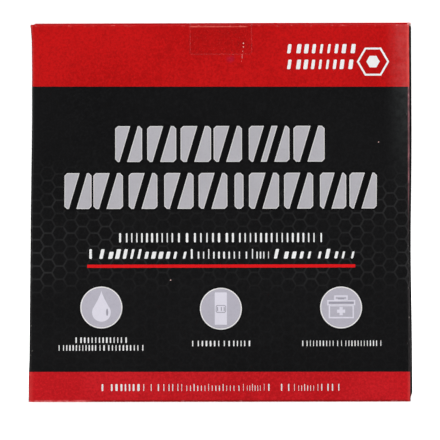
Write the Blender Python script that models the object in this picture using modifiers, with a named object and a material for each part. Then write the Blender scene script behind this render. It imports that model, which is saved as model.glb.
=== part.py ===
"""Retail folding carton holding one rolled stretch-wrap tourniquet.

The carton stands upright on its bottom closure. +Z is up, the printed front
faces -Y, and the origin is the centre of the bottom at floor level.
Lengths are given in millimetres and placed in metres.

The carton is a straight tuck end folding carton: both end closures hinge on
the back panel and tuck inside the front panel, over two dust flaps that hinge
on the side panels. Every panel between two creases is its own object. Each
flap that turns has a parent empty on its crease.
"""

import itertools
import math

import bpy
from mathutils import Vector

MM = 0.001

# ------------------------------------------------------------ carton
WIDTH = 108.0          # outside, along X
DEPTH = 32.0           # outside, along Y
HEIGHT = 107.2         # outside, along Z
BOARD = 0.5            # paperboard thickness
GAP = 0.3              # clearance between neighbouring panels at a crease
FRONT_CORNER = 0.6     # corner radius of the front panel

HALF_WIDTH = WIDTH / 2
FRONT_Y = -DEPTH / 2
BACK_Y = DEPTH / 2
FRONT_IN = FRONT_Y + BOARD     # inner face of the front panel
BACK_IN = BACK_Y - BOARD       # inner face of the back panel
FOLD_STEP = BOARD + GAP        # from a panel's outer face to the piece just inside it
SIDE_LOW = 2 * FOLD_STEP       # side panels stop short of the closure and the dust flap

GLUE_WIDTH = 13.0
GLUE_ROOT_STEP = 0.5   # the glue flap's root is shorter than the side panel, at each end
GLUE_TAPER = 6.0       # the same at its free edge
GLUE_CORNER = 2.0

# ------------------------------------------------------------ end flaps
CREASE_SETBACK = 0.15      # a closure starts this far in front of its crease line
CLOSURE_BACK_INSET = 0.1   # at each side, along the back crease
CLOSURE_CORNER = 1.5
CLOSURE_REACH = BACK_Y - (FRONT_IN + GAP)   # from back crease to front crease

TUCK_START = 1.15      # the tuck flap starts this far from its crease
TUCK_LENGTH = 14.0     # crease to tip
TUCK_LEAN = 14.5       # degrees the tucked flap leans in from the front panel
TUCK_WIDTH = 103.0     # at the root
TUCK_TAPER = 2.5       # each side runs in by this much at the tip
TUCK_ROOT_CORNER = 0.5
TUCK_CORNER = 8.0      # corner radius at the tip

DUST_START = 0.15      # the dust flap starts this far from its crease
DUST_LENGTH = 23.0     # crease to tip
DUST_FRONT_ROOT = FRONT_IN + 1.7
DUST_FRONT_TIP = FRONT_IN + 4.2
DUST_BACK = BACK_Y - 1.1   # back edge, at the crease
DUST_TAPER = 0.52      # back edge runs in by this much per unit of length
DUST_ROOT_CORNER = 0.5
DUST_TIP_CORNER = 3.0

# ------------------------------------------------------------ seal
SEAL_X = 0.1
SEAL_WIDTH = 17.7
SEAL_DROP = 8.6        # length of the leaf on the front panel
SEAL_RUN = 9.0         # reach of the leaf on the closure, from the carton's front
SEAL_FILM = 0.1
SEAL_CLEAR = 0.15      # clearance to the board
SEAL_CORNER = 2.0
SEAL_TOP_START = 0.1   # from the seal's crease to the leaf on the closure
SEAL_FRONT_START = 0.25  # from the seal's crease to the leaf on the front panel

# ------------------------------------------------------------ contents
WRAP_WIDTH = 101.6     # 4 in band, standing on its edge
WRAP_LENGTH = 1448.0   # 57 in, unstretched
WRAP_THICK = 0.75
WRAP_PITCH = 1.02      # from one turn to the next
WRAP_CORE = 1.2        # bend radius at the innermost end
WRAP_HALF_FLAT = 37.0  # half the flat run between the roll's two round ends
WRAP_ARC_STEPS = 9     # segments in each round end
ROLL_Y = -0.3          # centre of the roll, front to back
ROLL_Z = 1.9           # lower edge of the rolled band

FILM = 0.15            # thickness of the sleeve round the roll
FILM_CLEAR = 0.35
FILM_HEIGHT = 98.0
FILM_ARC_STEPS = 12    # segments in each round end

LEAFLET_THICK = 0.2
LEAFLET_WIDTH = 88.0
LEAFLET_HEIGHT = 92.0
LEAFLET_PITCH = 0.65   # from one layer to the next
LEAFLET_LAYERS = 3     # layers of the folded sheet
LEAFLET_Y = 12.0       # middle layer
LEAFLET_Z = 2.2        # lower edge

WELD_DISTANCE = 0.01   # merges the ribbon's coincident points

# Rotations that stand a flat outline upright.
UPRIGHT_X = (math.radians(90), 0, 0)                   # drawn in X and Z
UPRIGHT_Y = (math.radians(90), 0, math.radians(90))    # drawn in Y and Z


# ------------------------------------------------------------ scene
for old_object in list(bpy.data.objects):
    bpy.data.objects.remove(old_object, do_unlink=True)

PARTS = bpy.data.collections.new("boxed_stretch_wrap_tourniquet")
bpy.context.scene.collection.children.link(PARTS)


# ------------------------------------------------------------ materials
def material(name, colour, roughness, alpha=1.0):
    mat = bpy.data.materials.new(name)
    mat.use_nodes = True
    inputs = mat.node_tree.nodes["Principled BSDF"].inputs
    inputs["Base Color"].default_value = (*colour, 1.0)
    inputs["Roughness"].default_value = roughness
    inputs["Alpha"].default_value = alpha
    return mat


RED_BOARD = material("red_board", colour=(0.52, 0.010, 0.012), roughness=0.42)
BLACK_BOARD = material("black_board", colour=(0.010, 0.010, 0.011), roughness=0.45)
RAW_BOARD = material("raw_board", colour=(0.74, 0.70, 0.63), roughness=0.9)
SEAL_CLEAR_FILM = material("seal_film", colour=(0.9, 0.9, 0.9), roughness=0.15, alpha=0.25)
WRAP_RUBBER = material("wrap_rubber", colour=(0.025, 0.025, 0.028), roughness=0.7)
SLEEVE_FILM = material("clear_film", colour=(0.9, 0.92, 0.93), roughness=0.1, alpha=0.3)
LEAFLET_PAPER = material("leaflet_paper", colour=(0.85, 0.85, 0.83), roughness=0.85)


# ------------------------------------------------------------ object helpers
def place(name, data, location, rotation=(0, 0, 0), parent=None):
    ob = bpy.data.objects.new(name, data)
    ob.location = [c * MM for c in location]
    ob.rotation_euler = rotation
    ob.parent = parent
    PARTS.objects.link(ob)
    return ob


def empty(name, location, rotation=(0, 0, 0), parent=None):
    ob = place(name, None, location, rotation, parent)
    ob.empty_display_size = 5 * MM
    return ob


def poly_curve(name, points, dimensions, extent, mat, cyclic):
    """A polyline in X and Y, extruded along Z to the given full extent."""
    curve = bpy.data.curves.new(name, "CURVE")
    curve.dimensions = dimensions
    curve.extrude = extent * MM / 2
    spline = curve.splines.new("POLY")
    spline.points.add(len(points) - 1)
    for point, (x, y) in zip(spline.points, points):
        point.co = (x * MM, y * MM, 0, 1)
    spline.use_cyclic_u = cyclic
    curve.materials.append(mat)
    return curve


def sheet(name, outline, thickness, mat, location, rotation=(0, 0, 0), parent=None):
    """A flat die-cut piece: a filled 2D curve, as thick as its board."""
    curve = poly_curve(name, outline, "2D", thickness, mat, cyclic=True)
    curve.fill_mode = "BOTH"
    return place(name, curve, location, rotation, parent)


def ribbon(name, path, height, thickness, mat, parent, cyclic=False):
    """A band standing on its lower edge at the parent, bent along a path in X and Y."""
    curve = poly_curve(name, path, "3D", height, mat, cyclic)
    path_object = place(name + "_path", curve, (0, 0, 0))
    bpy.context.view_layer.update()
    evaluated = path_object.evaluated_get(bpy.context.evaluated_depsgraph_get())
    mesh = bpy.data.meshes.new_from_object(evaluated)
    bpy.data.objects.remove(path_object, do_unlink=True)
    mesh.name = name

    ob = place(name, mesh, (0, 0, height / 2), parent=parent)
    weld = ob.modifiers.new("weld", "WELD")
    weld.merge_threshold = WELD_DISTANCE * MM
    solid = ob.modifiers.new("thickness", "SOLIDIFY")
    solid.thickness = thickness * MM
    solid.offset = 0.0
    solid.use_even_offset = True
    return ob


# ------------------------------------------------------------ outlines and paths
def rectangle(x_min, x_max, y_min, y_max):
    return [(x_min, y_min), (x_max, y_min), (x_max, y_max), (x_min, y_max)]


def rounded(points, radii, steps):
    """A polygon's outline with each corner rounded to its own radius."""
    outline = []
    for i, (point, radius) in enumerate(zip(points, radii)):
        corner = Vector(point)
        if radius <= 0:
            outline.append(corner)
            continue
        to_previous = (Vector(points[i - 1]) - corner).normalized()
        to_next = (Vector(points[(i + 1) % len(points)]) - corner).normalized()
        half_angle = math.acos(max(-1.0, min(1.0, to_previous.dot(to_next)))) / 2
        reach = radius / math.tan(half_angle)
        bisector = (to_previous + to_next).normalized()
        centre = corner + bisector * (radius / math.sin(half_angle))
        start = corner + to_previous * reach - centre
        end = corner + to_next * reach - centre
        sweep = math.atan2(start.x * end.y - start.y * end.x, start.dot(end))
        for k in range(steps + 1):
            cos, sin = math.cos(sweep * k / steps), math.sin(sweep * k / steps)
            spoke = Vector((start.x * cos - start.y * sin, start.x * sin + start.y * cos))
            outline.append(centre + spoke)
    return outline


def roll_path():
    """The wrap's centre line, from the innermost turn outwards, as long as the real band."""
    points = []
    total = 0.0
    for half_turn in itertools.count():
        side = 1 if half_turn % 2 == 0 else -1
        for k in range(WRAP_ARC_STEPS + 1):
            angle = math.radians(-90 + 180 * k / WRAP_ARC_STEPS)
            radius = WRAP_CORE + WRAP_PITCH * (half_turn + k / WRAP_ARC_STEPS) / 2
            x = side * (WRAP_HALF_FLAT + radius * math.cos(angle))
            y = side * radius * math.sin(angle)
            if points:
                last_x, last_y = points[-1]
                run = math.hypot(x - last_x, y - last_y)
                if total + run > WRAP_LENGTH:
                    part = (WRAP_LENGTH - total) / run
                    points.append((last_x + (x - last_x) * part, last_y + (y - last_y) * part))
                    return points
                total += run
            points.append((x, y))


def outer_radius(path):
    """Half the roll's greatest thickness, as a film round it would measure."""
    return WRAP_THICK / 2 + max(
        math.hypot(max(abs(x) - WRAP_HALF_FLAT, 0.0), y) for x, y in path
    )


def racetrack(half_flat, radius, steps):
    """Two half circles joined by straight runs along X."""
    points = []
    for side, first_angle in ((1, -90), (-1, 90)):
        for k in range(steps + 1):
            angle = math.radians(first_angle + 180 * k / steps)
            points.append((side * half_flat + radius * math.cos(angle), radius * math.sin(angle)))
    return points


def zigzag(width, pitch, layers):
    """A sheet folded back and forth, seen from above."""
    radius = pitch / 2
    y = -pitch * (layers - 1) / 2
    side = 1
    points = [(-width / 2, y)]
    for _ in range(layers - 1):
        fold_x = side * (width / 2 - radius)
        points.append((fold_x, y))
        for degrees in (-45, 0, 45):
            angle = math.radians(degrees)
            points.append(
                (fold_x + side * radius * math.cos(angle), y + radius + radius * math.sin(angle))
            )
        y += pitch
        points.append((fold_x, y))
        side = -side
    points.append((side * width / 2, y))
    return points


# ------------------------------------------------------------ walls of the glued tube
def front_panel():
    """Its raw edges stand level with the closures, which tuck behind it."""
    outline = rounded(rectangle(-HALF_WIDTH, HALF_WIDTH, 0, HEIGHT), [FRONT_CORNER] * 4, steps=2)
    sheet("front_panel", outline, BOARD, BLACK_BOARD, (0, FRONT_Y + BOARD / 2, 0), UPRIGHT_X)


def back_panel():
    """It stops short of the closures that fold over it."""
    outline = rectangle(-HALF_WIDTH, HALF_WIDTH, FOLD_STEP, HEIGHT - FOLD_STEP)
    sheet("back_panel", outline, BOARD, BLACK_BOARD, (0, BACK_Y - BOARD / 2, 0), UPRIGHT_X)


def side_panels():
    """They stop short of the dust flaps."""
    outline = rectangle(FRONT_IN + GAP, BACK_IN - GAP, SIDE_LOW, HEIGHT - SIDE_LOW)
    for label, sign in (("left", -1), ("right", 1)):
        location = (sign * (HALF_WIDTH - BOARD / 2), 0, 0)
        sheet(f"{label}_side_panel", outline, BOARD, BLACK_BOARD, location, UPRIGHT_Y)


def glue_flap():
    """Folded off the left side panel, inside the back panel."""
    root_x = -HALF_WIDTH + FOLD_STEP
    free_x = root_x + GLUE_WIDTH
    outline = rounded(
        [
            (root_x, SIDE_LOW + GLUE_ROOT_STEP),
            (free_x, SIDE_LOW + GLUE_TAPER),
            (free_x, HEIGHT - SIDE_LOW - GLUE_TAPER),
            (root_x, HEIGHT - SIDE_LOW - GLUE_ROOT_STEP),
        ],
        [0, GLUE_CORNER, GLUE_CORNER, 0],
        steps=3,
    )
    location = (0, BACK_IN - GAP - BOARD / 2, 0)
    sheet("glue_flap", outline, BOARD, RAW_BOARD, location, UPRIGHT_X)


# ------------------------------------------------------------ tuck ends
# In each of these, up is +1 at the top end and -1 at the bottom. A flap's
# outer face lies on its crease, so the sheet is moved inwards by half a board.
def flap(name, outline, mat, up, crease):
    sheet(name, outline, BOARD, mat, (0, 0, -up * BOARD / 2), parent=crease)


def closure(end, crease_z, up):
    crease = empty(f"{end}_closure_crease", (0, BACK_Y, crease_z))
    front_half = HALF_WIDTH - GAP
    back_half = HALF_WIDTH - CLOSURE_BACK_INSET
    outline = rounded(
        [
            (-front_half, -CLOSURE_REACH),
            (front_half, -CLOSURE_REACH),
            (back_half, -CREASE_SETBACK),
            (-back_half, -CREASE_SETBACK),
        ],
        [CLOSURE_CORNER, CLOSURE_CORNER, 0, 0],
        steps=3,
    )
    flap(f"{end}_closure_panel", outline, RED_BOARD, up, crease)
    return crease


def tuck_flap(end, up, closure_crease):
    """It runs into the carton from the closure's front crease and leans inwards."""
    crease = empty(
        f"{end}_tuck_crease",
        (0, -CLOSURE_REACH, 0),
        rotation=(up * math.radians(90 + TUCK_LEAN), 0, 0),
        parent=closure_crease,
    )
    root_half = TUCK_WIDTH / 2
    tip_half = root_half - TUCK_TAPER
    outline = rounded(
        [
            (-root_half, -TUCK_START),
            (-tip_half, -TUCK_LENGTH),
            (tip_half, -TUCK_LENGTH),
            (root_half, -TUCK_START),
        ],
        [TUCK_ROOT_CORNER, TUCK_CORNER, TUCK_CORNER, TUCK_ROOT_CORNER],
        steps=5,
    )
    flap(f"{end}_tuck_flap", outline, RED_BOARD, up, crease)


def dust_flaps(end, crease_z, up):
    """Set back at the front for the tuck flap, and tapered at the back so that
    the closure clears them as they rise together."""
    for label, sign in (("left", -1), ("right", 1)):
        crease = empty(
            f"{end}_dust_crease_{label}", (sign * HALF_WIDTH, 0, crease_z - up * FOLD_STEP)
        )
        outline = rounded(
            [
                (-sign * DUST_START, DUST_FRONT_ROOT),
                (-sign * DUST_START, DUST_BACK - DUST_TAPER * DUST_START),
                (-sign * DUST_LENGTH, DUST_BACK - DUST_TAPER * DUST_LENGTH),
                (-sign * DUST_LENGTH, DUST_FRONT_TIP),
            ],
            [DUST_ROOT_CORNER, DUST_ROOT_CORNER, DUST_TIP_CORNER, DUST_TIP_CORNER],
            steps=4,
        )
        flap(f"{end}_dust_flap_{label}", outline, RAW_BOARD, up, crease)


# ------------------------------------------------------------ clear seal
def seal():
    """One leaf on the top closure, one down the front panel."""
    half = SEAL_WIDTH / 2
    crease_y = FRONT_Y - SEAL_CLEAR - SEAL_FILM / 2
    crease_z = HEIGHT + SEAL_CLEAR + SEAL_FILM / 2

    top_leaf = rounded(
        rectangle(-half, half, crease_y + SEAL_TOP_START, FRONT_Y + SEAL_RUN),
        [0, 0, SEAL_CORNER, SEAL_CORNER],
        steps=4,
    )
    sheet("seal_top_leaf", top_leaf, SEAL_FILM, SEAL_CLEAR_FILM, (SEAL_X, 0, crease_z))

    crease = empty("seal_peel_crease", (SEAL_X, crease_y, crease_z))
    front_leaf = rounded(
        [
            (-half, -SEAL_FRONT_START),
            (-half, -SEAL_DROP),
            (half, -SEAL_DROP),
            (half, -SEAL_FRONT_START),
        ],
        [0, SEAL_CORNER, SEAL_CORNER, 0],
        steps=4,
    )
    sheet(
        "seal_front_leaf", front_leaf, SEAL_FILM, SEAL_CLEAR_FILM, (0, 0, 0), UPRIGHT_X, crease
    )


# ------------------------------------------------------------ contents
def wrap_and_sleeve():
    """The rolled band, with its film sleeve centred on it in height."""
    slide = empty("contents_slide", (0, ROLL_Y, ROLL_Z))
    path = roll_path()
    ribbon("wrap_roll", path, WRAP_WIDTH, WRAP_THICK, WRAP_RUBBER, slide)

    film_radius = outer_radius(path) + FILM_CLEAR + FILM / 2
    film_path = racetrack(WRAP_HALF_FLAT, film_radius, FILM_ARC_STEPS)
    sleeve = ribbon("film_sleeve", film_path, FILM_HEIGHT, FILM, SLEEVE_FILM, slide, cyclic=True)
    sleeve.location.z = WRAP_WIDTH / 2 * MM


def leaflet():
    slide = empty("leaflet_slide", (0, LEAFLET_Y, LEAFLET_Z))
    path = zigzag(LEAFLET_WIDTH, LEAFLET_PITCH, LEAFLET_LAYERS)
    ribbon("instruction_leaflet", path, LEAFLET_HEIGHT, LEAFLET_THICK, LEAFLET_PAPER, slide)


# ------------------------------------------------------------ build
front_panel()
back_panel()
side_panels()
glue_flap()
for end, crease_z, up in (("top", HEIGHT, 1), ("bottom", 0.0, -1)):
    closure_crease = closure(end, crease_z, up)
    tuck_flap(end, up, closure_crease)
    dust_flaps(end, crease_z, up)
seal()
wrap_and_sleeve()
leaflet()
bpy.context.view_layer.update()
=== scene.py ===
"""A boxed stretch-wrap tourniquet: printed carton, clear seal, rolled rubber band and leaflet.

The carton stands upright on z = 0. Its front faces -Y, its width runs along X and it is centred
on x = y = 0. Lengths in the builders are millimetres in the frame's own axes. Every mesh keeps
its rest position in a point attribute named "rest", which the materials read, so that a pattern
stays put when a flap turns or bends.
"""

import math

import bmesh
import bpy
import numpy as np
from mathutils import Matrix, Vector, noise


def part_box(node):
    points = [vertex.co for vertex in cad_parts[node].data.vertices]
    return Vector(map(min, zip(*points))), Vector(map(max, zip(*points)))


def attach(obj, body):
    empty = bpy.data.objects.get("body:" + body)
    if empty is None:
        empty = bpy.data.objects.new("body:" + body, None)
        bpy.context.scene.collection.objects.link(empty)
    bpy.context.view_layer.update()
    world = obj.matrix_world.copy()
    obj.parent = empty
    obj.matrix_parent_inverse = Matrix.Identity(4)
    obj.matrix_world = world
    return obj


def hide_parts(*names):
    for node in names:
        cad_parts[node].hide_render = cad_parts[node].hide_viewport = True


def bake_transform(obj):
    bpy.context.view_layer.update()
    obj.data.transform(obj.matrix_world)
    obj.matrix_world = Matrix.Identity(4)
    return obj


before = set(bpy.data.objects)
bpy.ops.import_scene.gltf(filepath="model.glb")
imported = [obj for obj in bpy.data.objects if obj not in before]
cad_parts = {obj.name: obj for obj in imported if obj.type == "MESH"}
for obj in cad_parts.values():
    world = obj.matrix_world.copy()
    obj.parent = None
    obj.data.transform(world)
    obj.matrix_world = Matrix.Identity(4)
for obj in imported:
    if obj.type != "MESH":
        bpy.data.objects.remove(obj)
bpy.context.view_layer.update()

MM = 0.001


# ------------------------------------------------------------ sizes, read from the frame
def box_mm(piece):
    lo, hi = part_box(piece)
    return lo / MM, hi / MM


front_lo, front_hi = box_mm("front_panel")
seal_lo, seal_hi = box_mm("seal_front_leaf")
sleeve_lo, sleeve_hi = box_mm("film_sleeve")
leaflet_lo, leaflet_hi = box_mm("instruction_leaflet")
dust_lo, dust_hi = box_mm("top_dust_flap_right")
HALF_WIDTH = front_hi.x
FRONT_Y = front_lo.y                       # printed face of the front panel
BACK_Y = box_mm("back_panel")[1].y         # outer face of the back panel
HEIGHT = front_hi.z
MID = HEIGHT / 2
LID_FRONT_Y = box_mm("top_closure_panel")[0].y
TUCK_HALF = box_mm("top_tuck_flap")[1].x
SEAL_BACK_Y = box_mm("seal_top_leaf")[1].y
ROLL_FOOT = box_mm("wrap_roll")[0].z
GLUE_END_X = box_mm("glue_flap")[1].x
DUST_DEPTH = HEIGHT - dust_hi.z            # dust crease, in from the carton's end

BOARD = 0.45                               # board thickness
GLUE_INSET = BOARD + 0.06                  # glue flap, in from the back face
BAND_TOP = 89.68                           # lower edge of the upper red band
BAND_LOW = 8.54                            # upper edge of the lower red band
ROLL_Y = -0.3                              # centre of the rolled band


# ------------------------------------------------------------ small maths
def smooth(start, end, value):
    """Smooth step from 0 at start to 1 at end; start may be the greater."""
    t = min(1.0, max(0.0, (value - start) / (end - start)))
    return t * t * (3 - 2 * t)


def noise_at(x, y, z=0.0, seed=0.0):
    return noise.noise(Vector((x + 17.3 * seed, y - 9.1 * seed, z + 3.7 * seed)))


def share(value, half):
    """Place between the middle and the edges of a panel, -1 to 1."""
    return max(-1.0, min(1.0, value / half))


def edge_taper(value, half):
    """Falls to 0 over the last 2 mm before a panel's edge."""
    return min(1.0, (half - abs(value)) / 2.0)


def front_bulge(x, z):
    """How far the front stands proud of its plane: a bow, ripples and waves at its raw edges."""
    across, up = share(x, HALF_WIDTH), share(z - MID, MID)
    bow = 0.40 * (1 - across * across) * (1 - 0.8 * up * up)
    ripple = 0.10 * noise_at(x / 26, z / 30, seed=1) + 0.035 * noise_at(x / 8, z / 11, seed=2)
    lip = 0.10 * noise_at(x / 17, 5.0, seed=3) * smooth(0.86, 1.0, abs(up))
    return (bow + (ripple + lip) * (1 - across ** 6)) * edge_taper(x, HALF_WIDTH)


def back_bulge(x, z):
    across, up = share(x, HALF_WIDTH), share(z - MID, MID)
    bow = (1 - across * across) * (0.32 * (1 - up ** 4))
    ripple = 0.07 * noise_at(x / 24, z / 27, seed=4) * (1 - across ** 6) * (1 - up ** 6)
    return (bow + ripple) * edge_taper(x, HALF_WIDTH)


def side_bulge(y, z, seed):
    across, up = share(y, BACK_Y), share(z - MID, MID)
    swell = 0.12 + 0.06 * noise_at(y / 12, z / 25, seed=seed)
    return (1 - across * across) * (1 - up ** 6) * swell * edge_taper(y, BACK_Y)


def fold_lean(x, z):
    """Sideways shift of the walls near the left and right folds, towards +X."""
    up = z / HEIGHT
    if x < 0:
        # leans in towards the top, is pushed in below the corner and splays out at the foot
        lean = 0.42 * smooth(0.05, 0.95, up) - 0.36 * (1 - smooth(0.0, 0.55, up))
        lean += 0.22 * math.exp(-((z - 101.5) / 5.0) ** 2)
        lean += 0.27 * smooth(50, 84, z) * (1 - smooth(93, 102, z))
        lean -= 0.20 * (1 - smooth(6.5, 13, z)) + 0.10 * smooth(103, 105, z)
        return lean * smooth(-30.0, -HALF_WIDTH, x)
    # slightly proud at both ends, pressed in at half height
    lean = 0.15 - 0.10 * smooth(0.6, 1.0, up) - 0.34 * math.exp(-((z - 43) / 20) ** 2)
    return lean * smooth(30.0, HALF_WIDTH, x)


# ------------------------------------------------------------ shader building
class Shader:
    """A material and short-hand for building its node tree."""

    def __init__(self, name):
        self.material = bpy.data.materials.new(name)
        self.material.use_nodes = True
        self.tree = self.material.node_tree
        self.tree.nodes.clear()
        self.output = self.node("ShaderNodeOutputMaterial")
        self.rest = None

    def node(self, kind, **properties):
        node = self.tree.nodes.new(kind)
        for key, value in properties.items():
            setattr(node, key, value)
        return node

    def link(self, source, target):
        self.tree.links.new(source, target)

    def put(self, socket, value):
        """Links a socket, or sets a number or an (r, g, b) colour."""
        if isinstance(value, bpy.types.NodeSocket):
            self.link(value, socket)
        elif isinstance(value, tuple):
            socket.default_value = (*value, 1.0)
        else:
            socket.default_value = value

    def position(self):
        """Rest position in millimetres."""
        if self.rest is None:
            attribute = self.node("ShaderNodeAttribute", attribute_name="rest")
            self.rest = attribute.outputs["Vector"]
        return self.rest

    def xyz(self):
        split = self.node("ShaderNodeSeparateXYZ")
        self.link(self.position(), split.inputs[0])
        return split.outputs

    def math(self, operation, *operands, clamp=False):
        node = self.node("ShaderNodeMath", operation=operation)
        node.use_clamp = clamp
        for socket, value in zip(node.inputs, operands):
            self.put(socket, value)
        return node.outputs[0]

    def times(self, first, *factors):
        for factor in factors:
            first = self.math("MULTIPLY", first, factor)
        return first

    def linear(self, value, gain, offset):
        return self.math("MULTIPLY_ADD", value, gain, offset)

    def absolute(self, value):
        return self.math("ABSOLUTE", value)

    def step(self, start, end, value):
        """Smooth step from 0 at start to 1 at end; start may be the greater."""
        node = self.node("ShaderNodeMapRange", interpolation_type="SMOOTHSTEP")
        rising = start <= end
        node.inputs["From Min"].default_value = min(start, end)
        node.inputs["From Max"].default_value = max(start, end)
        node.inputs["To Min"].default_value = 0.0 if rising else 1.0
        node.inputs["To Max"].default_value = 1.0 if rising else 0.0
        self.put(node.inputs["Value"], value)
        return node.outputs["Result"]

    def noise(self, scale, detail=3.0, rough=0.55, stretch=None, distortion=0.0):
        """Noise with features about 1/scale millimetres across."""
        node = self.node("ShaderNodeTexNoise")
        node.inputs["Scale"].default_value = scale
        node.inputs["Detail"].default_value = detail
        node.inputs["Roughness"].default_value = rough
        node.inputs["Distortion"].default_value = distortion
        vector = self.position()
        if stretch:
            multiply = self.node("ShaderNodeVectorMath", operation="MULTIPLY")
            self.link(vector, multiply.inputs[0])
            multiply.inputs[1].default_value = stretch
            vector = multiply.outputs[0]
        self.link(vector, node.inputs["Vector"])
        return node.outputs["Fac"]

    def mix(self, factor, base, colour):
        node = self.node("ShaderNodeMix", data_type="RGBA", blend_type="MIX")
        self.put(node.inputs[0], factor)
        self.put(node.inputs[6], base)
        self.put(node.inputs[7], colour)
        return node.outputs[2]

    def paint(self, base, colour, mask, strength):
        """Lays a colour over the base where the mask is 1, at the given strength."""
        return self.mix(self.times(mask, strength), base, colour)

    def bump(self, height, strength, depth, normal=None):
        """Relief of the given depth in millimetres, over an earlier relief if one is given."""
        node = self.node("ShaderNodeBump")
        node.inputs["Strength"].default_value = strength
        node.inputs["Distance"].default_value = depth * MM
        self.put(node.inputs["Height"], height)
        if normal is not None:
            self.link(normal, node.inputs["Normal"])
        return node.outputs[0]

    def facing(self, blend):
        node = self.node("ShaderNodeLayerWeight")
        node.inputs["Blend"].default_value = blend
        return node

    def principled(self, **inputs):
        node = self.node("ShaderNodeBsdfPrincipled")
        for key, value in inputs.items():
            self.put(node.inputs[key.replace("_", " ")], value)
        return node

    def finish(self, surface):
        self.link(surface.outputs[0], self.output.inputs[0])
        return self.material


def srgb(*channels):
    """Linear colour from sRGB channels of 0 to 255."""
    def linear(value):
        value /= 255.0
        return value / 12.92 if value <= 0.04045 else ((value + 0.055) / 1.055) ** 2.4
    return tuple(linear(value) for value in channels)


# ------------------------------------------------------------ printed board
def inset_from(mat, value, half):
    """Distance in from the planes at plus and minus half, never negative."""
    return mat.math("MAXIMUM", mat.math("SUBTRACT", half, mat.absolute(value)), 0.0)


def fold_distance(mat):
    """Distance from the nearest vertical fold of the carton, seen from above."""
    x, y, z = mat.xyz()
    from_side = inset_from(mat, x, HALF_WIDTH)
    from_face = inset_from(mat, y, BACK_Y)
    squares = mat.math("ADD", mat.times(from_side, from_side), mat.times(from_face, from_face))
    return mat.math("SQRT", squares)


def end_distance(mat):
    """Distance from the nearer end of the carton, top or bottom."""
    z = mat.xyz()[2]
    return mat.math("MINIMUM", mat.absolute(z), mat.absolute(mat.math("SUBTRACT", HEIGHT, z)))


def on_front(mat, y):
    """1 on the front face, 0 further back."""
    return mat.step(FRONT_EDGE_BACK, FRONT_EDGE_START, y)


FRONT_EDGE_BACK, FRONT_EDGE_START = -BACK_Y + 1.2, -BACK_Y + 0.5


def hex_lines(mat, x, z, pitch=3.75, width=0.34):
    """1 on the lines of a honeycomb of flat-topped cells, pitch from flat to flat."""
    side = pitch / math.sqrt(3)
    half = pitch / 2

    def cell(shift_x, shift_z):
        from_x = mat.math("WRAP", mat.math("ADD", x, shift_x), 1.5 * side, -1.5 * side)
        from_z = mat.math("WRAP", mat.math("ADD", z, shift_z), half, -half)
        from_x = mat.absolute(from_x)
        from_z = mat.absolute(from_z)
        slanted = mat.linear(from_x, math.sqrt(3) / 2, mat.times(from_z, 0.5))
        return mat.math("MAXIMUM", from_z, slanted)

    distance = mat.math("MINIMUM", cell(0.0, 0.0), cell(1.5 * side, half))
    return mat.step(half - width, half - width * 0.3, distance)


def mottled_ink(mat, colour, dark, grain):
    """Ink with clouds, blotches, grain and a fine mottle."""
    blotch = mat.noise(scale=0.38, detail=4.0, rough=0.65)
    mottle = mat.noise(scale=1.5, detail=3.0, rough=0.7)
    gain = 1.10 if max(colour) > 0.1 else 1.45
    light = tuple(min(1.0, channel * gain) for channel in colour)
    deep = tuple(channel * 0.80 for channel in dark)
    cloud = mat.noise(scale=0.045, detail=2.0)
    ink = mat.mix(mat.step(0.35, 0.68, cloud), colour, dark)
    ink = mat.paint(ink, deep, mat.step(0.56, 0.72, blotch), strength=0.55)
    ink = mat.paint(ink, light, mat.step(0.44, 0.30, blotch), strength=0.55)
    ink = mat.paint(ink, deep, mat.step(0.48, 0.74, grain), strength=0.45)
    ink = mat.paint(ink, deep, mat.step(0.47, 0.66, mottle), strength=0.60)
    return mat.paint(ink, light, mat.step(0.51, 0.34, mottle), strength=0.70)


def add_honeycomb(mat, ink, x, y, z, strength):
    """Grey honeycomb lines, strongest in a patchy band and faint below it."""
    lines = hex_lines(mat, mat.math("ADD", x, y), mat.math("SUBTRACT", z, 1.2))
    band = mat.times(mat.step(27.0, 37.0, z), mat.step(72.0, 54.0, z))
    sideways = mat.linear(mat.absolute(x), 0.62 / HALF_WIDTH, 0.38)
    patches = mat.linear(mat.step(0.35, 0.65, mat.noise(scale=0.09, detail=2.0)), 0.7, 0.3)
    strong = mat.times(lines, band, mat.times(sideways, patches))
    faint = mat.times(lines, mat.times(mat.step(78.0, 20.0, z), 0.10))
    return mat.paint(ink, srgb(50, 50, 51), mat.math("MAXIMUM", strong, faint), strength)


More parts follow.
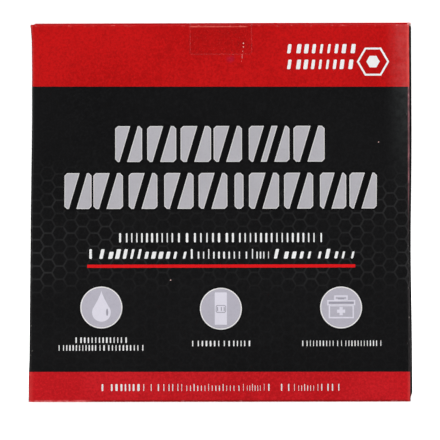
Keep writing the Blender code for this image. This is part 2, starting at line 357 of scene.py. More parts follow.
def add_front_marks(mat, ink, x, y, z, painted_sheen):
    """Marks on the front: a painted sheen by the right fold, a smudge and a pale rubbed line at
    the top edge.
    """
    # painted sheen: a paler patch by the right fold stands for light reflected where the
    # varnished board curves towards the fold
    painted_sheen_mask = mat.times(mat.step(46.5, 54.0, x), mat.step(52.0, 92.0, z), on_front(mat, y))
    patches = mat.step(0.32, 0.66, mat.noise(scale=0.5, detail=4.0, rough=0.7))
    painted_sheen_mask = mat.times(painted_sheen_mask, mat.linear(patches, 0.55, 0.30))
    ink = mat.paint(ink, painted_sheen, painted_sheen_mask, strength=0.75)

    # a faint round smudge below the seal, with a noisy outline
    from_x, from_z = mat.math("SUBTRACT", x, 3.3), mat.math("SUBTRACT", z, 97.6)
    squares = mat.math("ADD", mat.times(from_x, from_x), mat.times(from_z, from_z))
    distance = mat.math("SQRT", squares)
    distance = mat.linear(
        mat.noise(scale=0.7, detail=2.0), 1.4, mat.math("SUBTRACT", distance, 0.7))
    smudge = mat.times(mat.step(1.5, 0.2, distance), on_front(mat, y))
    ink = mat.paint(ink, srgb(120, 30, 80), smudge, strength=0.24)

    # the top edge is rubbed pale where the seal bends over it
    rubbed = mat.times(
        mat.step(HEIGHT - 0.70, HEIGHT - 0.52, z), mat.step(HEIGHT - 0.22, HEIGHT - 0.38, z),
        on_front(mat, y), mat.times(mat.step(-9.0, -7.6, x), mat.step(8.6, 7.0, x)))
    patches = mat.step(0.35, 0.60, mat.noise(scale=0.6, detail=2.0, rough=0.5))
    rubbed = mat.times(rubbed, mat.linear(patches, 0.7, 0.3))
    return mat.paint(ink, srgb(246, 110, 98), rubbed, strength=0.8)


def add_foot_shade_and_scuffs(mat, ink, x, y, z):
    """A dark line of painted shade along the front's lower edge, giving way towards the left
    corner to pale scuffs.
    """
    foot = mat.times(mat.step(0.66, 0.36, z), on_front(mat, y))
    corner = mat.step(-35.0, -40.0, x)
    # painted shade: dark red along the lower edge stands for the shade where the edge rounds
    # under
    ink = mat.mix(mat.times(foot, mat.linear(corner, -0.55, 0.55)), ink, srgb(104, 14, 14))
    patches = mat.step(0.30, 0.60, mat.noise(scale=0.5, detail=2.0))
    pale = mat.times(foot, mat.times(corner, patches))
    return mat.paint(ink, srgb(240, 130, 132), pale, strength=0.55)


def add_fold_wear_and_highlight(mat, ink, x, y, z, from_fold, fold_wear_and_highlight, low_fold_wear_and_highlight, low_wear_and_highlight_share):
    """Rubbed ink along the folds, lightened by a painted highlight where the rounded fold catches
    the light; with the low colour set it is a narrow line that turns greyer below.
    """
    patches = mat.step(
        0.40, 0.62, mat.noise(scale=0.8, detail=4.0, rough=0.7, stretch=(1.0, 1.0, 0.35)))
    if low_fold_wear_and_highlight:
        reach = mat.times(
            mat.step(0.50, 0.34, from_fold),
            mat.step(HALF_WIDTH + 0.14, HALF_WIDTH + 0.02, mat.absolute(x)))
    else:
        reach = mat.step(1.1, 0.15, from_fold)
    wear_and_highlight_mask = mat.times(reach, mat.linear(patches, 0.65, 0.35))
    if low_wear_and_highlight_share < 1.0:
        wear_and_highlight_mask = mat.times(wear_and_highlight_mask, mat.linear(mat.step(10.0, 95.0, z), 1 - low_wear_and_highlight_share, low_wear_and_highlight_share))
    if low_fold_wear_and_highlight:
        fold_wear_and_highlight = mat.mix(mat.step(28.0, 66.0, z), low_fold_wear_and_highlight, fold_wear_and_highlight)
        # the front's left fold is hardly worn and gets little painted highlight
        left = mat.times(mat.step(-48.0, -50.0, x), mat.step(0.0, -6.0, y))
        wear_and_highlight_mask = mat.times(wear_and_highlight_mask, mat.linear(left, -0.9, 1.0))
    # the fold colour is partly worn ink and partly a painted highlight of the rounded fold
    return mat.paint(ink, fold_wear_and_highlight, wear_and_highlight_mask, strength=0.75)


def chip_mask(mat, from_fold, from_edge):
    """Small chips of missing ink along the folds and the raw edges."""
    spots = mat.noise(scale=1.7, detail=3.0, rough=0.6, stretch=(1, 1, 0.5))
    chips = mat.times(mat.step(0.9, 0.1, from_fold), mat.step(0.66, 0.74, spots))
    edge_spots = mat.noise(scale=1.1, detail=3.0, rough=0.6)
    edge = mat.times(mat.step(0.7, 0.0, from_edge), mat.step(0.55, 0.70, edge_spots))
    return mat.math("MAXIMUM", chips, mat.times(edge, 0.7))


def printed(name, colour, dark, fold_wear_and_highlight, rough=0.30, honeycomb=0.0, gloss=0.10,
            chip=(0.80, 0.74, 0.68), lid=False, low_wear_and_highlight_share=1.0, painted_sheen=None, foot=False,
            low_fold_wear_and_highlight=None):
    """Varnished ink on boxboard: mottled, with fibre relief, and rubbed folds and edges; the
    folds also carry a painted highlight.
    """
    mat = Shader(name)
    x, y, z = mat.xyz()
    grain = mat.noise(scale=0.9, detail=4.0, rough=0.65)
    ink = mottled_ink(mat, colour, dark, grain)
    if honeycomb:
        ink = add_honeycomb(mat, ink, x, y, z, honeycomb)
    if painted_sheen:
        ink = add_front_marks(mat, ink, x, y, z, painted_sheen)
    if foot:
        ink = add_foot_shade_and_scuffs(mat, ink, x, y, z)
    if lid:
        from_fold = mat.math(
            "MINIMUM", inset_from(mat, x, HALF_WIDTH), inset_from(mat, y, BACK_Y))
        from_edge = from_fold
    else:
        from_fold = fold_distance(mat)
        from_edge = end_distance(mat)
    ink = add_fold_wear_and_highlight(mat, ink, x, y, z, from_fold, fold_wear_and_highlight, low_fold_wear_and_highlight, low_wear_and_highlight_share)
    chips = chip_mask(mat, from_fold, from_edge)
    ink = mat.paint(ink, chip, chips, strength=0.6)

    # hairline scratches in the varnish
    hair = mat.noise(scale=0.35, detail=2.0, rough=0.5, stretch=(0.25, 1.0, 2.2), distortion=1.6)
    hair = mat.times(mat.step(0.496, 0.500, hair), mat.step(0.504, 0.500, hair))
    roughness = mat.linear(mat.step(0.3, 0.7, grain), 0.08, rough)
    roughness = mat.math("ADD", roughness, mat.times(chips, 0.35))
    roughness = mat.math("ADD", roughness, mat.times(hair, 0.10), clamp=True)
    relief = mat.bump(mat.noise(scale=6.0, detail=2.0, rough=0.6), strength=0.10, depth=0.02)
    swell = mat.noise(scale=0.35, detail=3.0, rough=0.5)
    relief = mat.bump(swell, strength=0.12, depth=0.10, normal=relief)
    # the varnish is matted, so its sheen dies away at the most grazing angles
    facing = mat.facing(blend=0.5).outputs["Facing"]
    sheen = mat.times(mat.step(0.97, 0.80, facing), gloss)
    return mat.finish(mat.principled(
        Base_Color=ink, Roughness=roughness, Normal=relief, Specular_IOR_Level=sheen))


def raw_board(name, light, dark, specks=0.5):
    """Uncoated board and cut edges: felted fibre with darker specks."""
    mat = Shader(name)
    fibre = mat.noise(
        scale=1.6, detail=5.0, rough=0.7, stretch=(1.0, 1.0, 0.55), distortion=0.8)
    cloud = mat.noise(scale=0.08, detail=2.0)
    speck = mat.step(0.70, 0.78, mat.noise(scale=3.2, detail=2.0, rough=0.5))
    colour = mat.mix(mat.step(0.30, 0.75, fibre), light, dark)
    colour = mat.paint(colour, dark, mat.step(0.4, 0.7, cloud), strength=0.35)
    colour = mat.paint(colour, (0.22, 0.19, 0.16), speck, strength=specks)
    relief = mat.bump(fibre, strength=0.35, depth=0.06)
    return mat.finish(mat.principled(
        Base_Color=colour, Roughness=0.88, Normal=relief, Specular_IOR_Level=0.25,
        Sheen_Weight=0.08))


# the front's red gets a paler red painted by the right fold as a painted sheen
M_red = printed(
    "red_print", srgb(194, 18, 19), srgb(181, 12, 13), fold_wear_and_highlight=srgb(238, 84, 78),
    chip=srgb(234, 140, 134), painted_sheen=srgb(202, 84, 84))
# painted light: the lower band is the same red ink as the upper band, painted brighter to make up
# for the light falling off lower down
M_red_low = printed(
    "red_print_lower", srgb(205, 30, 38), srgb(193, 21, 28), fold_wear_and_highlight=srgb(212, 58, 58),
    chip=srgb(228, 150, 150), foot=True)
# the black's fold colours are partly worn ink and partly a painted highlight, pinkish above and
# greyer below
BLACK_FOLD_WEAR_AND_HIGHLIGHT = dict(fold_wear_and_highlight=srgb(186, 118, 126), low_wear_and_highlight_share=0.25, low_fold_wear_and_highlight=srgb(98, 84, 86))
# the front's black gets a grey painted by the right fold as a painted sheen
M_black = printed(
    "black_print", srgb(18, 18, 19), srgb(14, 14, 15), honeycomb=0.66, painted_sheen=srgb(60, 63, 63),
    **BLACK_FOLD_WEAR_AND_HIGHLIGHT)
# painted shade: the side walls and dust flaps carry the front's black ink painted darker
M_black_side = printed(
    "black_side_print", srgb(9, 9, 10), srgb(6, 6, 7), gloss=0.05, honeycomb=0.50, **BLACK_FOLD_WEAR_AND_HIGHLIGHT)
# painted shade: the closure's top is the front's red ink painted darker, for the top seen nearly
# edge on
M_red_top = printed(
    "red_closure_print", srgb(172, 18, 22), srgb(154, 13, 17), fold_wear_and_highlight=srgb(214, 74, 72),
    rough=0.42, lid=True, chip=srgb(214, 130, 128))
M_white_coat = printed(
    "white_coating", (0.78, 0.78, 0.76), (0.72, 0.72, 0.70), fold_wear_and_highlight=(0.70, 0.68, 0.64), rough=0.5)
M_raw = raw_board("uncoated_board", (0.66, 0.61, 0.53), (0.50, 0.45, 0.38))
M_edge = raw_board("cut_edge", (0.80, 0.75, 0.68), (0.62, 0.56, 0.49), specks=0.2)
M_edge_red = raw_board("cut_edge_rubbed", srgb(226, 150, 145), srgb(190, 70, 70), specks=0.1)


# ------------------------------------------------------------ inks of the printed shapes
def flat_ink(name, colour, rough=0.34, metal=0.0, vary=0.06, pinholes=0.0):
    """A flat printed colour: slight ink mottle, fine grain and varnish."""
    mat = Shader(name)
    grain = mat.noise(scale=1.4, detail=4.0, rough=0.7)
    cloud = mat.noise(scale=0.09, detail=2.0)
    dark = tuple(channel * (1 - vary) for channel in colour)
    darker = tuple(channel * (1 - 2.2 * vary) for channel in colour)
    ink = mat.mix(mat.step(0.35, 0.70, cloud), colour, dark)
    ink = mat.paint(ink, darker, mat.step(0.48, 0.72, grain), strength=0.7)
    if pinholes:
        # ink missing where the board's texture kept the plate off
        pins = mat.step(0.74, 0.80, mat.noise(scale=2.6, detail=3.0, rough=0.6))
        ink = mat.paint(ink, tuple(channel * 0.35 for channel in colour), pins, pinholes)
    relief = mat.bump(mat.noise(scale=5.0, detail=2.0), strength=0.05, depth=0.02)
    return mat.finish(mat.principled(
        Base_Color=ink, Roughness=mat.linear(grain, 0.12, rough - 0.06), Metallic=metal,
        Normal=relief, Specular_IOR_Level=0.10))


M_silver = flat_ink(
    "silver_ink", srgb(186, 184, 190), rough=0.46, metal=0.15, vary=0.05, pinholes=0.35)
M_silver_rim = flat_ink("silver_rim", srgb(216, 214, 214), rough=0.42, vary=0.03)
M_white_ink = flat_ink("white_ink", srgb(240, 240, 240), vary=0.03)
M_halo = flat_ink("halo_black", srgb(8, 8, 9), rough=0.40, vary=0.1)
M_rule = flat_ink("rule_red", srgb(226, 22, 26), vary=0.08)
M_disc = flat_ink("disc_grey", srgb(187, 184, 196), rough=0.5, metal=0.1, vary=0.05, pinholes=0.2)
M_ring = flat_ink("disc_ring", srgb(232, 230, 230), vary=0.03)
M_icon = flat_ink("icon_pale", srgb(224, 221, 233), vary=0.03)
M_icon_dark = flat_ink("icon_shade", srgb(158, 156, 168), vary=0.05)
M_fleck = raw_board("bare_fleck", (0.90, 0.62, 0.58), (0.80, 0.50, 0.46), specks=0.0)


# ------------------------------------------------------------ film, rubber and paper
def film(name, tint, body, edge_body, rough, wrinkle, scale=0.25, colour=(0.92, 0.93, 0.94),
         specular=0.6):
    """Clear film: its body share rises from body, seen face on, to edge_body, seen edge on."""
    mat = Shader(name)
    clear = mat.node("ShaderNodeBsdfTransparent")
    mat.put(clear.inputs[0], tint)
    wrinkles = mat.noise(scale=scale, detail=3.0, rough=0.5, distortion=0.6)
    relief = mat.bump(wrinkles, strength=wrinkle, depth=0.15)
    surface = mat.principled(
        Base_Color=colour, Roughness=mat.linear(mat.noise(scale=1.2, detail=2.0), 0.12, rough),
        Normal=relief, Specular_IOR_Level=specular, Coat_Weight=0.5, Coat_Roughness=0.1)
    weight = mat.facing(blend=0.35)
    mat.link(relief, weight.inputs["Normal"])
    amount = mat.math(
        "MULTIPLY_ADD", weight.outputs["Facing"], edge_body - body, body, clamp=True)
    blend = mat.node("ShaderNodeMixShader")
    mat.link(amount, blend.inputs[0])
    mat.link(clear.outputs[0], blend.inputs[1])
    mat.link(surface.outputs[0], blend.inputs[2])
    mat.material.surface_render_method = "BLENDED"
    return mat.finish(blend)


M_seal = film(
    "seal_film", tint=(0.975, 0.965, 0.96), body=0.002, edge_body=0.012, rough=0.16,
    wrinkle=0.03, colour=(0.3, 0.3, 0.3), specular=0.25)
M_seal_edge = film(
    "seal_film_edge", tint=(0.985, 0.985, 0.985), body=0.022, edge_body=0.16, rough=0.3,
    wrinkle=0.05)
M_sleeve = film(
    "sleeve_film", tint=(0.955, 0.96, 0.965), body=0.02, edge_body=0.30, rough=0.10,
    wrinkle=0.55, scale=0.22, colour=(0.45, 0.46, 0.47))


def rubber(name, rib_pitch=1.6):
    """Matt black rubber: moulded cross ribs, dusted with powder."""
    mat = Shader(name)
    z = mat.xyz()[2]
    ribs = mat.linear(mat.math("SINE", mat.times(z, 2 * math.pi / rib_pitch)), 0.5, 0.5)
    dust = mat.noise(scale=0.30, detail=5.0, rough=0.7, distortion=0.5)
    fine = mat.noise(scale=5.5, detail=3.0, rough=0.65)
    dusty = mat.times(mat.step(0.42, 0.75, dust), 0.45)
    colour = mat.mix(dusty, (0.020, 0.020, 0.022), (0.11, 0.11, 0.112))
    colour = mat.paint(colour, (0.07, 0.07, 0.072), mat.step(0.55, 1.0, ribs), strength=0.22)
    relief = mat.bump(ribs, strength=0.35, depth=0.12)
    relief = mat.bump(fine, strength=0.25, depth=0.03, normal=relief)
    return mat.finish(mat.principled(
        Base_Color=colour, Roughness=mat.linear(dust, 0.25, 0.50), Normal=relief,
        Specular_IOR_Level=0.35, Sheen_Weight=0.15, Sheen_Roughness=0.4))


def rubber_edge(name):
    mat = Shader(name)
    fine = mat.noise(scale=3.0, detail=4.0, rough=0.7)
    colour = mat.mix(mat.step(0.4, 0.7, fine), (0.045, 0.045, 0.047), (0.10, 0.10, 0.102))
    return mat.finish(mat.principled(
        Base_Color=colour, Roughness=0.8, Normal=mat.bump(fine, strength=0.4, depth=0.06),
        Specular_IOR_Level=0.3))


def paper(name, line_pitch=3.1):
    """Thin uncoated paper with two columns of plain grey dashes standing for print."""
    mat = Shader(name)
    x, y, z = mat.xyz()
    fibre = mat.noise(scale=1.8, detail=5.0, rough=0.7)
    colour = mat.mix(mat.step(0.3, 0.75, fibre), (0.80, 0.80, 0.78), (0.70, 0.70, 0.68))
    height = mat.math("WRAP", z, line_pitch, 0.0)
    line = mat.times(mat.step(0.9, 1.0, height), mat.step(1.95, 1.85, height))
    # each line's words are shifted by a different amount
    index = mat.math("FLOOR", mat.math("DIVIDE", z, line_pitch))
    shift = mat.times(mat.math("SINE", mat.times(index, 12.9898)), 7.0)
    shifted = mat.math("ADD", x, shift)
    short_wave = mat.math("SINE", mat.times(shifted, 1.05))
    long_wave = mat.math("SINE", mat.linear(shifted, 0.43, 1.3))
    words = mat.step(-0.95, -0.75, mat.math("ADD", short_wave, mat.times(long_wave, 0.8)))
    inside = mat.times(
        mat.step(38.5, 38.3, mat.absolute(x)), mat.step(85.0, 84.8, z), mat.step(7.0, 7.2, z))
    gutter = mat.step(1.9, 2.1, mat.absolute(x))
    ink = mat.times(mat.times(line, words), mat.times(inside, gutter))
    colour = mat.paint(colour, (0.12, 0.12, 0.13), ink, strength=0.75)
    return mat.finish(mat.principled(
        Base_Color=colour, Roughness=0.82, Normal=mat.bump(fibre, strength=0.25, depth=0.05),
        Specular_IOR_Level=0.3))


M_rubber = rubber("wrap_rubber_ribbed")
M_rubber_edge = rubber_edge("wrap_rubber_cut")
M_paper = paper("leaflet_paper")


# ------------------------------------------------------------ mesh builders
def finish_mesh(mesh_mm, name, materials, sharp_degrees):
    """A bmesh in millimetres becomes an object, keeping its rest positions for the materials."""
    mesh = bpy.data.meshes.new(name)
    mesh_mm.normal_update()
    mesh_mm.to_mesh(mesh)
    mesh_mm.free()
    places = np.zeros(len(mesh.vertices) * 3, np.float32)
    mesh.vertices.foreach_get("co", places)
    rest = mesh.attributes.new("rest", "FLOAT_VECTOR", "POINT")
    rest.data.foreach_set("vector", places)
    mesh.vertices.foreach_set("co", places * MM)
    for material in materials:
        mesh.materials.append(material)
    mesh.shade_smooth()
    mesh.set_sharp_from_angle(angle=math.radians(sharp_degrees))
    mesh.update()
    ob = bpy.data.objects.new(name, mesh)
    bpy.context.scene.collection.objects.link(ob)
    return ob


def always(value):
    return lambda i, j: value


def shell(name, rows, columns, place, materials, keep=always(True), mat_out=always(0),
          mat_in=always(0), mat_rim=always(0), wrap=False, sharp_degrees=35):
    """A closed sheet: place(i, j) gives a grid point's outer and inner positions.

    keep(i, j) says which cells are there; the mat_ functions give a cell's material slots.
    """
    bm = bmesh.new()
    grid = [[place(i, j) for j in range(columns)] for i in range(rows)]
    across = columns if wrap else columns - 1
    cells = {(i, j) for i in range(rows - 1) for j in range(across) if keep(i, j)}
    verts = {}

    def vert(corner, layer):
        i, j = corner[0], corner[1] % columns
        key = (i, j, layer)
        if key not in verts:
            verts[key] = bm.verts.new(grid[i][j][layer])
        return verts[key]

    def face(corners, slot):
        bm.faces.new([vert(corner, layer) for corner, layer in corners]).material_index = slot

    for i, j in cells:
        quad = [(i, j), (i, j + 1), (i + 1, j + 1), (i + 1, j)]
        face([(corner, 0) for corner in quad], mat_out(i, j))
        face([(corner, 1) for corner in reversed(quad)], mat_in(i, j))
        right, left = j + 1, j - 1
        if wrap:
            right, left = right % across, left % across
        neighbours = ((i - 1, j), (i, right), (i + 1, j), (i, left))
        for k, neighbour in enumerate(neighbours):
            if neighbour not in cells:
                a, b = quad[k], quad[(k + 1) % 4]
                face([(b, 0), (a, 0), (a, 1), (b, 1)], mat_rim(i, j))
    bmesh.ops.recalc_face_normals(bm, faces=bm.faces)
    return finish_mesh(bm, name, materials, sharp_degrees)


def right_of(direction):
    direction = direction.normalized()
    return Vector((direction.y, -direction.x))


def curve_normals(points):
    """Normals to the right of the direction of travel."""
    last = len(points) - 1
    return [right_of(points[min(last, i + 1)] - points[max(0, i - 1)])
            for i in range(len(points))]


def rounded_path(corners, radii, spacing):
    """A polyline with rounded corners, resampled; returns points and right-hand normals."""
    corners = [Vector(corner) for corner in corners]
    coarse = []                                  # (point, whether it lies on an arc)
    for i, (corner, radius) in enumerate(zip(corners, radii)):
        if not radius:
            coarse.append((corner, False))
            continue
        before = (corners[i - 1] - corner).normalized()
        after = (corners[i + 1] - corner).normalized()
        half = math.acos(max(-1.0, min(1.0, before.dot(after)))) / 2
        reach = radius / math.tan(half)
        centre = corner + (before + after).normalized() * (radius / math.sin(half))
        start = corner + before * reach - centre
        end = corner + after * reach - centre
        turn = math.atan2(start.x * end.y - start.y * end.x, start.dot(end))
        steps = max(4, int(abs(turn) / math.radians(15)))
        for k in range(steps + 1):
            cos, sin = math.cos(turn * k / steps), math.sin(turn * k / steps)
            spoke = Vector((start.x * cos - start.y * sin, start.x * sin + start.y * cos))
            coarse.append((centre + spoke, True))

    points, on_arc = [], []
    for (a, a_arc), (b, b_arc) in zip(coarse, coarse[1:]):
        points.append(a)
        on_arc.append(a_arc)
        if not (a_arc and b_arc) or (b - a).length > spacing * 1.5:
            pieces = max(1, int(math.ceil((b - a).length / spacing)))
            for k in range(1, pieces):
                points.append(a.lerp(b, k / pieces))
                on_arc.append(False)
    points.append(coarse[-1][0])
    on_arc.append(coarse[-1][1])

    normals = curve_normals(points)
    for i in range(1, len(points) - 1):
        if on_arc[i]:
            ahead = (points[i + 1] - points[i]).normalized()
            normals[i] = right_of(ahead + (points[i] - points[i - 1]).normalized())
    return points, normals


def running_lengths(points):
    run = [0.0]
    for a, b in zip(points, points[1:]):
        run.append(run[-1] + (b - a).length)
    return run


# ------------------------------------------------------------ the carton's walls
def wall_rows():
    """Heights of the wall grid: close at both ends, with exact rows where the ink changes."""
    near_end = (0.0, 0.25, 0.7, 1.2, 1.8, 2.2)
    bands = (BAND_LOW, BAND_TOP)
    heights = {*near_end, *bands} | {HEIGHT - step for step in near_end}
    heights |= {2.2 + (HEIGHT - 4.4) * k / 50 for k in range(1, 50)}
    rows = []
    for z in sorted(heights):
        crowded = rows and z - rows[-1] < 0.35
        if crowded and z not in (*bands, HEIGHT, HEIGHT - 0.25, 0.25):
            continue
        if crowded and z in bands:
            rows[-1] = z
            continue
        rows.append(z)
    return rows


def wall_part(point, normal):
    """Which panel or corner a point of the wall's plan belongs to."""
    if normal.y > 0.99 and point.y < BACK_Y - 0.3:
        return "glue"
    if normal.y < -0.999:
        return "front"
    if normal.y > 0.999:
        return "back"
    if abs(normal.x) > 0.999:
        return "side"
    if point.y < 0:
        return "front_corner"
    return "back_corner" if point.x > 0 else "glue_corner"


# how far each part of the wall stops short of the carton's ends
END_CUT = {
    "front": 0.0, "front_corner": 0.0, "side": 2.2, "back_corner": 0.7, "back": 1.2,
    "glue": 2.2, "glue_corner": 2.2,
}


def build_walls():
    """One continuous tube of board: glue flap, left side, front, right side, back."""
    radius = 0.75
    glue_y = BACK_Y - GLUE_INSET
    plan = [
        (GLUE_END_X, glue_y), (-HALF_WIDTH, glue_y), (-HALF_WIDTH, FRONT_Y),
        (HALF_WIDTH, FRONT_Y), (HALF_WIDTH, BACK_Y), (-HALF_WIDTH + 0.12, BACK_Y),
    ]
    points, normals = rounded_path(plan, [0, radius, radius, radius, radius, 0], spacing=2.0)
    rows = wall_rows()
    parts = [wall_part(point, normal) for point, normal in zip(points, normals)]
    band_tilt = {BAND_TOP: 0.0023, BAND_LOW: 0.0009}     # the bands' edges fall towards +X

    def place(i, j):
        z, point, normal, part = rows[i], points[j], normals[j], parts[j]
        bulge = 0.0
        if part == "front":
            bulge = front_bulge(point.x, z)
        elif part == "back":
            bulge = back_bulge(point.x, z)
        elif part == "side":
            bulge = side_bulge(point.y, z, seed=5 if point.x < 0 else 6)
        height = z
        if part == "glue":
            taper = 1 - 0.075 * smooth(-HALF_WIDTH, GLUE_END_X, point.x)
            height = MID + (z - MID) * taper
        if part in ("front", "front_corner"):
            height -= point.x * band_tilt.get(z, 0.0)
            if z == HEIGHT:
                # the left top corner stands up a little
                height += 0.22 * smooth(-48.5, -53.0, point.x)
        lean = fold_lean(point.x, z)
        return tuple(
            Vector((point.x + normal.x * out + lean, point.y + normal.y * out, height))
            for out in (bulge, bulge - BOARD))

    def cell_part(a, b):
        for part in ("front_corner", "back_corner", "glue_corner"):
            if part in (a, b):
                return part
        return a

    cell_parts = [cell_part(a, b) for a, b in zip(parts, parts[1:])]
    materials = [M_red, M_black, M_raw, M_black_side, M_white_coat, M_edge, M_red_low, M_edge_red]
    slot = {material: k for k, material in enumerate(materials)}

    def keep(i, j):
        cut = END_CUT[cell_parts[j]]
        return rows[i] >= cut - 1e-6 and rows[i + 1] <= HEIGHT - cut + 1e-6

    def mat_out(i, j):
        middle = (rows[i] + rows[i + 1]) / 2
        ink = M_black
        if middle > BAND_TOP:
            ink = M_red
        elif middle < BAND_LOW:
            ink = M_red_low
        part = cell_parts[j]
        # the ink of the wide panels turns part of the way round the fold
        turned = (part in ("front_corner", "back_corner")
                  and abs(normals[j].y + normals[j + 1].y) > 1.0)
        if part in ("front", "back") or turned:
            return slot[ink]
        return slot[M_white_coat if part == "glue" else M_black_side]

    def mat_rim(i, j):
        return slot[M_edge_red if cell_parts[j] in ("front", "front_corner") else M_edge]

    ob = shell(
        "carton_walls", len(rows), len(points), place, materials, keep=keep, mat_out=mat_out,
        mat_in=always(slot[M_raw]), mat_rim=mat_rim)
    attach(ob, "carton")
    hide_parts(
        "front_panel", "back_panel", "left_side_panel", "right_side_panel", "glue_flap")


# ------------------------------------------------------------ creased flaps
# Each flap is drawn as a section of (distance along Y or X, depth in from the carton's end)
# and swept across. "run" is the length along the section, "across" the place along the sweep.
LID_HALF = HALF_WIDTH - 0.22
HINGE_DEPTH = 1.2                                # the closure starts this far down the back
SPLIT_Y = LID_FRONT_Y + 2.2                      # the closure ends and the tuck flap starts
LID_RUN = HINGE_DEPTH + (BACK_Y - SPLIT_Y)
LID_TRIM = 0.55                                  # the top lid is cut shorter on its +X side


def end_z(up, depth):
    """Height of a point at the given depth in from the top (up = 1) or bottom (up = -1)."""
    return (HEIGHT if up > 0 else 0.0) - up * depth


def outward(normals):
    """Section normals turned to point out of the carton."""
    return [-normal if normal.y > 0 or (abs(normal.y) < 1e-6 and normal.x < 0) else normal
            for normal in normals]


def flap(name, points, normals, to_space, edges, columns, materials, mat_out, blend, piece,
         wave=lambda run, across: 0.0):
    """A board strip along a section.

    to_space(point, across) places a section point; edges(run) gives a row's two ends;
    mat_out(run) gives a row's outer slot; blend, (body, body, start, end) in millimetres, is not
    used.
    """
    run = running_lengths(points)

    def place(i, j):
        low, high = edges(run[i])
        across = low + (high - low) * (j / columns)
        out = wave(run[i], across)
        return tuple(to_space(points[i] + normals[i] * shift, across)
                     for shift in (out, out - BOARD))

    ob = shell(
        name, len(points), columns + 1, place, materials,
        mat_out=lambda i, j: mat_out((run[i] + run[i + 1]) / 2),
        mat_in=always(1), mat_rim=always(2))
    body_a, body_b, start, end = blend
    [c * MM for c in start]
    [c * MM for c in end]
    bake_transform(ob)
    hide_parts(piece)


def corner_cut(from_tip, radius):
    """How far a round corner draws the edge in, at a distance from the flap's tip."""
    if from_tip >= radius:
        return 0.0
    return radius - math.sqrt(max(0.0, radius * radius - (radius - from_tip) ** 2))


def tip_rows(points, normals, radius, steps):
    """Respaces the rows close to the tip, so that its rounded corners come out round."""
    run = running_lengths(points)
    total = run[-1]
    kept = [k for k in range(len(points)) if run[k] < total - radius]
    direction = (points[-1] - points[-2]).normalized()
    tip_points = []
    for k in range(steps + 1):
        along = total - radius + radius * math.sin(math.pi / 2 * k / steps)
        tip_points.append(points[-1] - direction * (total - along))
    return ([points[k] for k in kept] + tip_points,
            [normals[k] for k in kept] + [normals[-1]] * (steps + 1))


def lid_wave(up, run, across):
    """The closure's waviness; the top one also sinks towards its left side."""
    wave = 0.10 * noise_at(across / 20, run / 12, seed=7 if up > 0 else 8)
    wave -= 0.05 if up > 0 else 0.10
    sink = 0.26 * smooth(10.0, -HALF_WIDTH, across) if up > 0 else 0.0
    return smooth(1.5, 6.0, run) * wave - sink * smooth(1.2, 2.0, run)


def build_closure(end, up):
    """From the back panel over the rear fold, to just behind the front fold."""
    points, normals = rounded_path(
        [(BACK_Y, HINGE_DEPTH), (BACK_Y, 0.0), (SPLIT_Y, 0.0)], [0, 0.6, 0], spacing=2.0)

    def edges(run):
        half = HALF_WIDTH - 0.12 if run < 1.5 else LID_HALF
        return -half, half - (LID_TRIM * smooth(1.5, 6.0, run) if up > 0 else 0.0)

    flap(
        f"{end}_closure_board", points, outward(normals),
        lambda point, across: Vector((across, point.x, end_z(up, point.y))), edges, columns=54,
        materials=[M_red_top, M_raw, M_edge_red], mat_out=lambda run: 0,
        blend=("carton", f"{end}_closure", (0, BACK_Y, end_z(up, 0.85)),
               (0, BACK_Y - 0.95, end_z(up, 0.0))),
        piece=f"{end}_closure_panel",
        wave=lambda run, across: lid_wave(up, run, across))


def build_tuck(end, up):
    """Over the front fold and down inside the front panel."""
    lean = math.radians(14.5)
    length = 14.0
    radius = 8.0                                 # of the tip's corners
    root_start, root_end = 1.6, 3.2              # run over which the flap narrows past its fold
    tip_taper = 2.2
    tip = (LID_FRONT_Y + length * math.sin(lean), length * math.cos(lean))
    points, normals = rounded_path(
        [(SPLIT_Y, 0.0), (LID_FRONT_Y, 0.0), tip], [0, 0.5, 0], spacing=1.6)
    total = running_lengths(points)[-1]
    points, normals = tip_rows(points, [-normal for normal in normals], radius, steps=7)

    def edges(run):
        if run < root_end:
            half = TUCK_HALF + (LID_HALF - TUCK_HALF) * smooth(root_end, root_start, run)
        else:
            half = TUCK_HALF - tip_taper * (run - root_end) / (total - root_end)
        half -= corner_cut(total - run, radius)
        return -half, half - (LID_TRIM * smooth(2.4, 1.4, run) if up > 0 else 0.0)

    def wave(run, across):
        """Carries on from the closure's edge and dies away before the fold."""
        return lid_wave(up, LID_RUN, across) * (1 - smooth(0.0, 1.5, run))

    flap(
        f"{end}_tuck_board", points, normals,
        lambda point, across: Vector((across, point.x, end_z(up, point.y))), edges, columns=54,
        materials=[M_red_top, M_raw, M_edge_red], mat_out=lambda run: 0,
        blend=(f"{end}_closure", f"{end}_tuck", (0, LID_FRONT_Y + 0.62, end_z(up, 0.0)),
               (0, LID_FRONT_Y + 0.05, end_z(up, 0.75))),
        piece=f"{end}_tuck_flap", wave=wave)


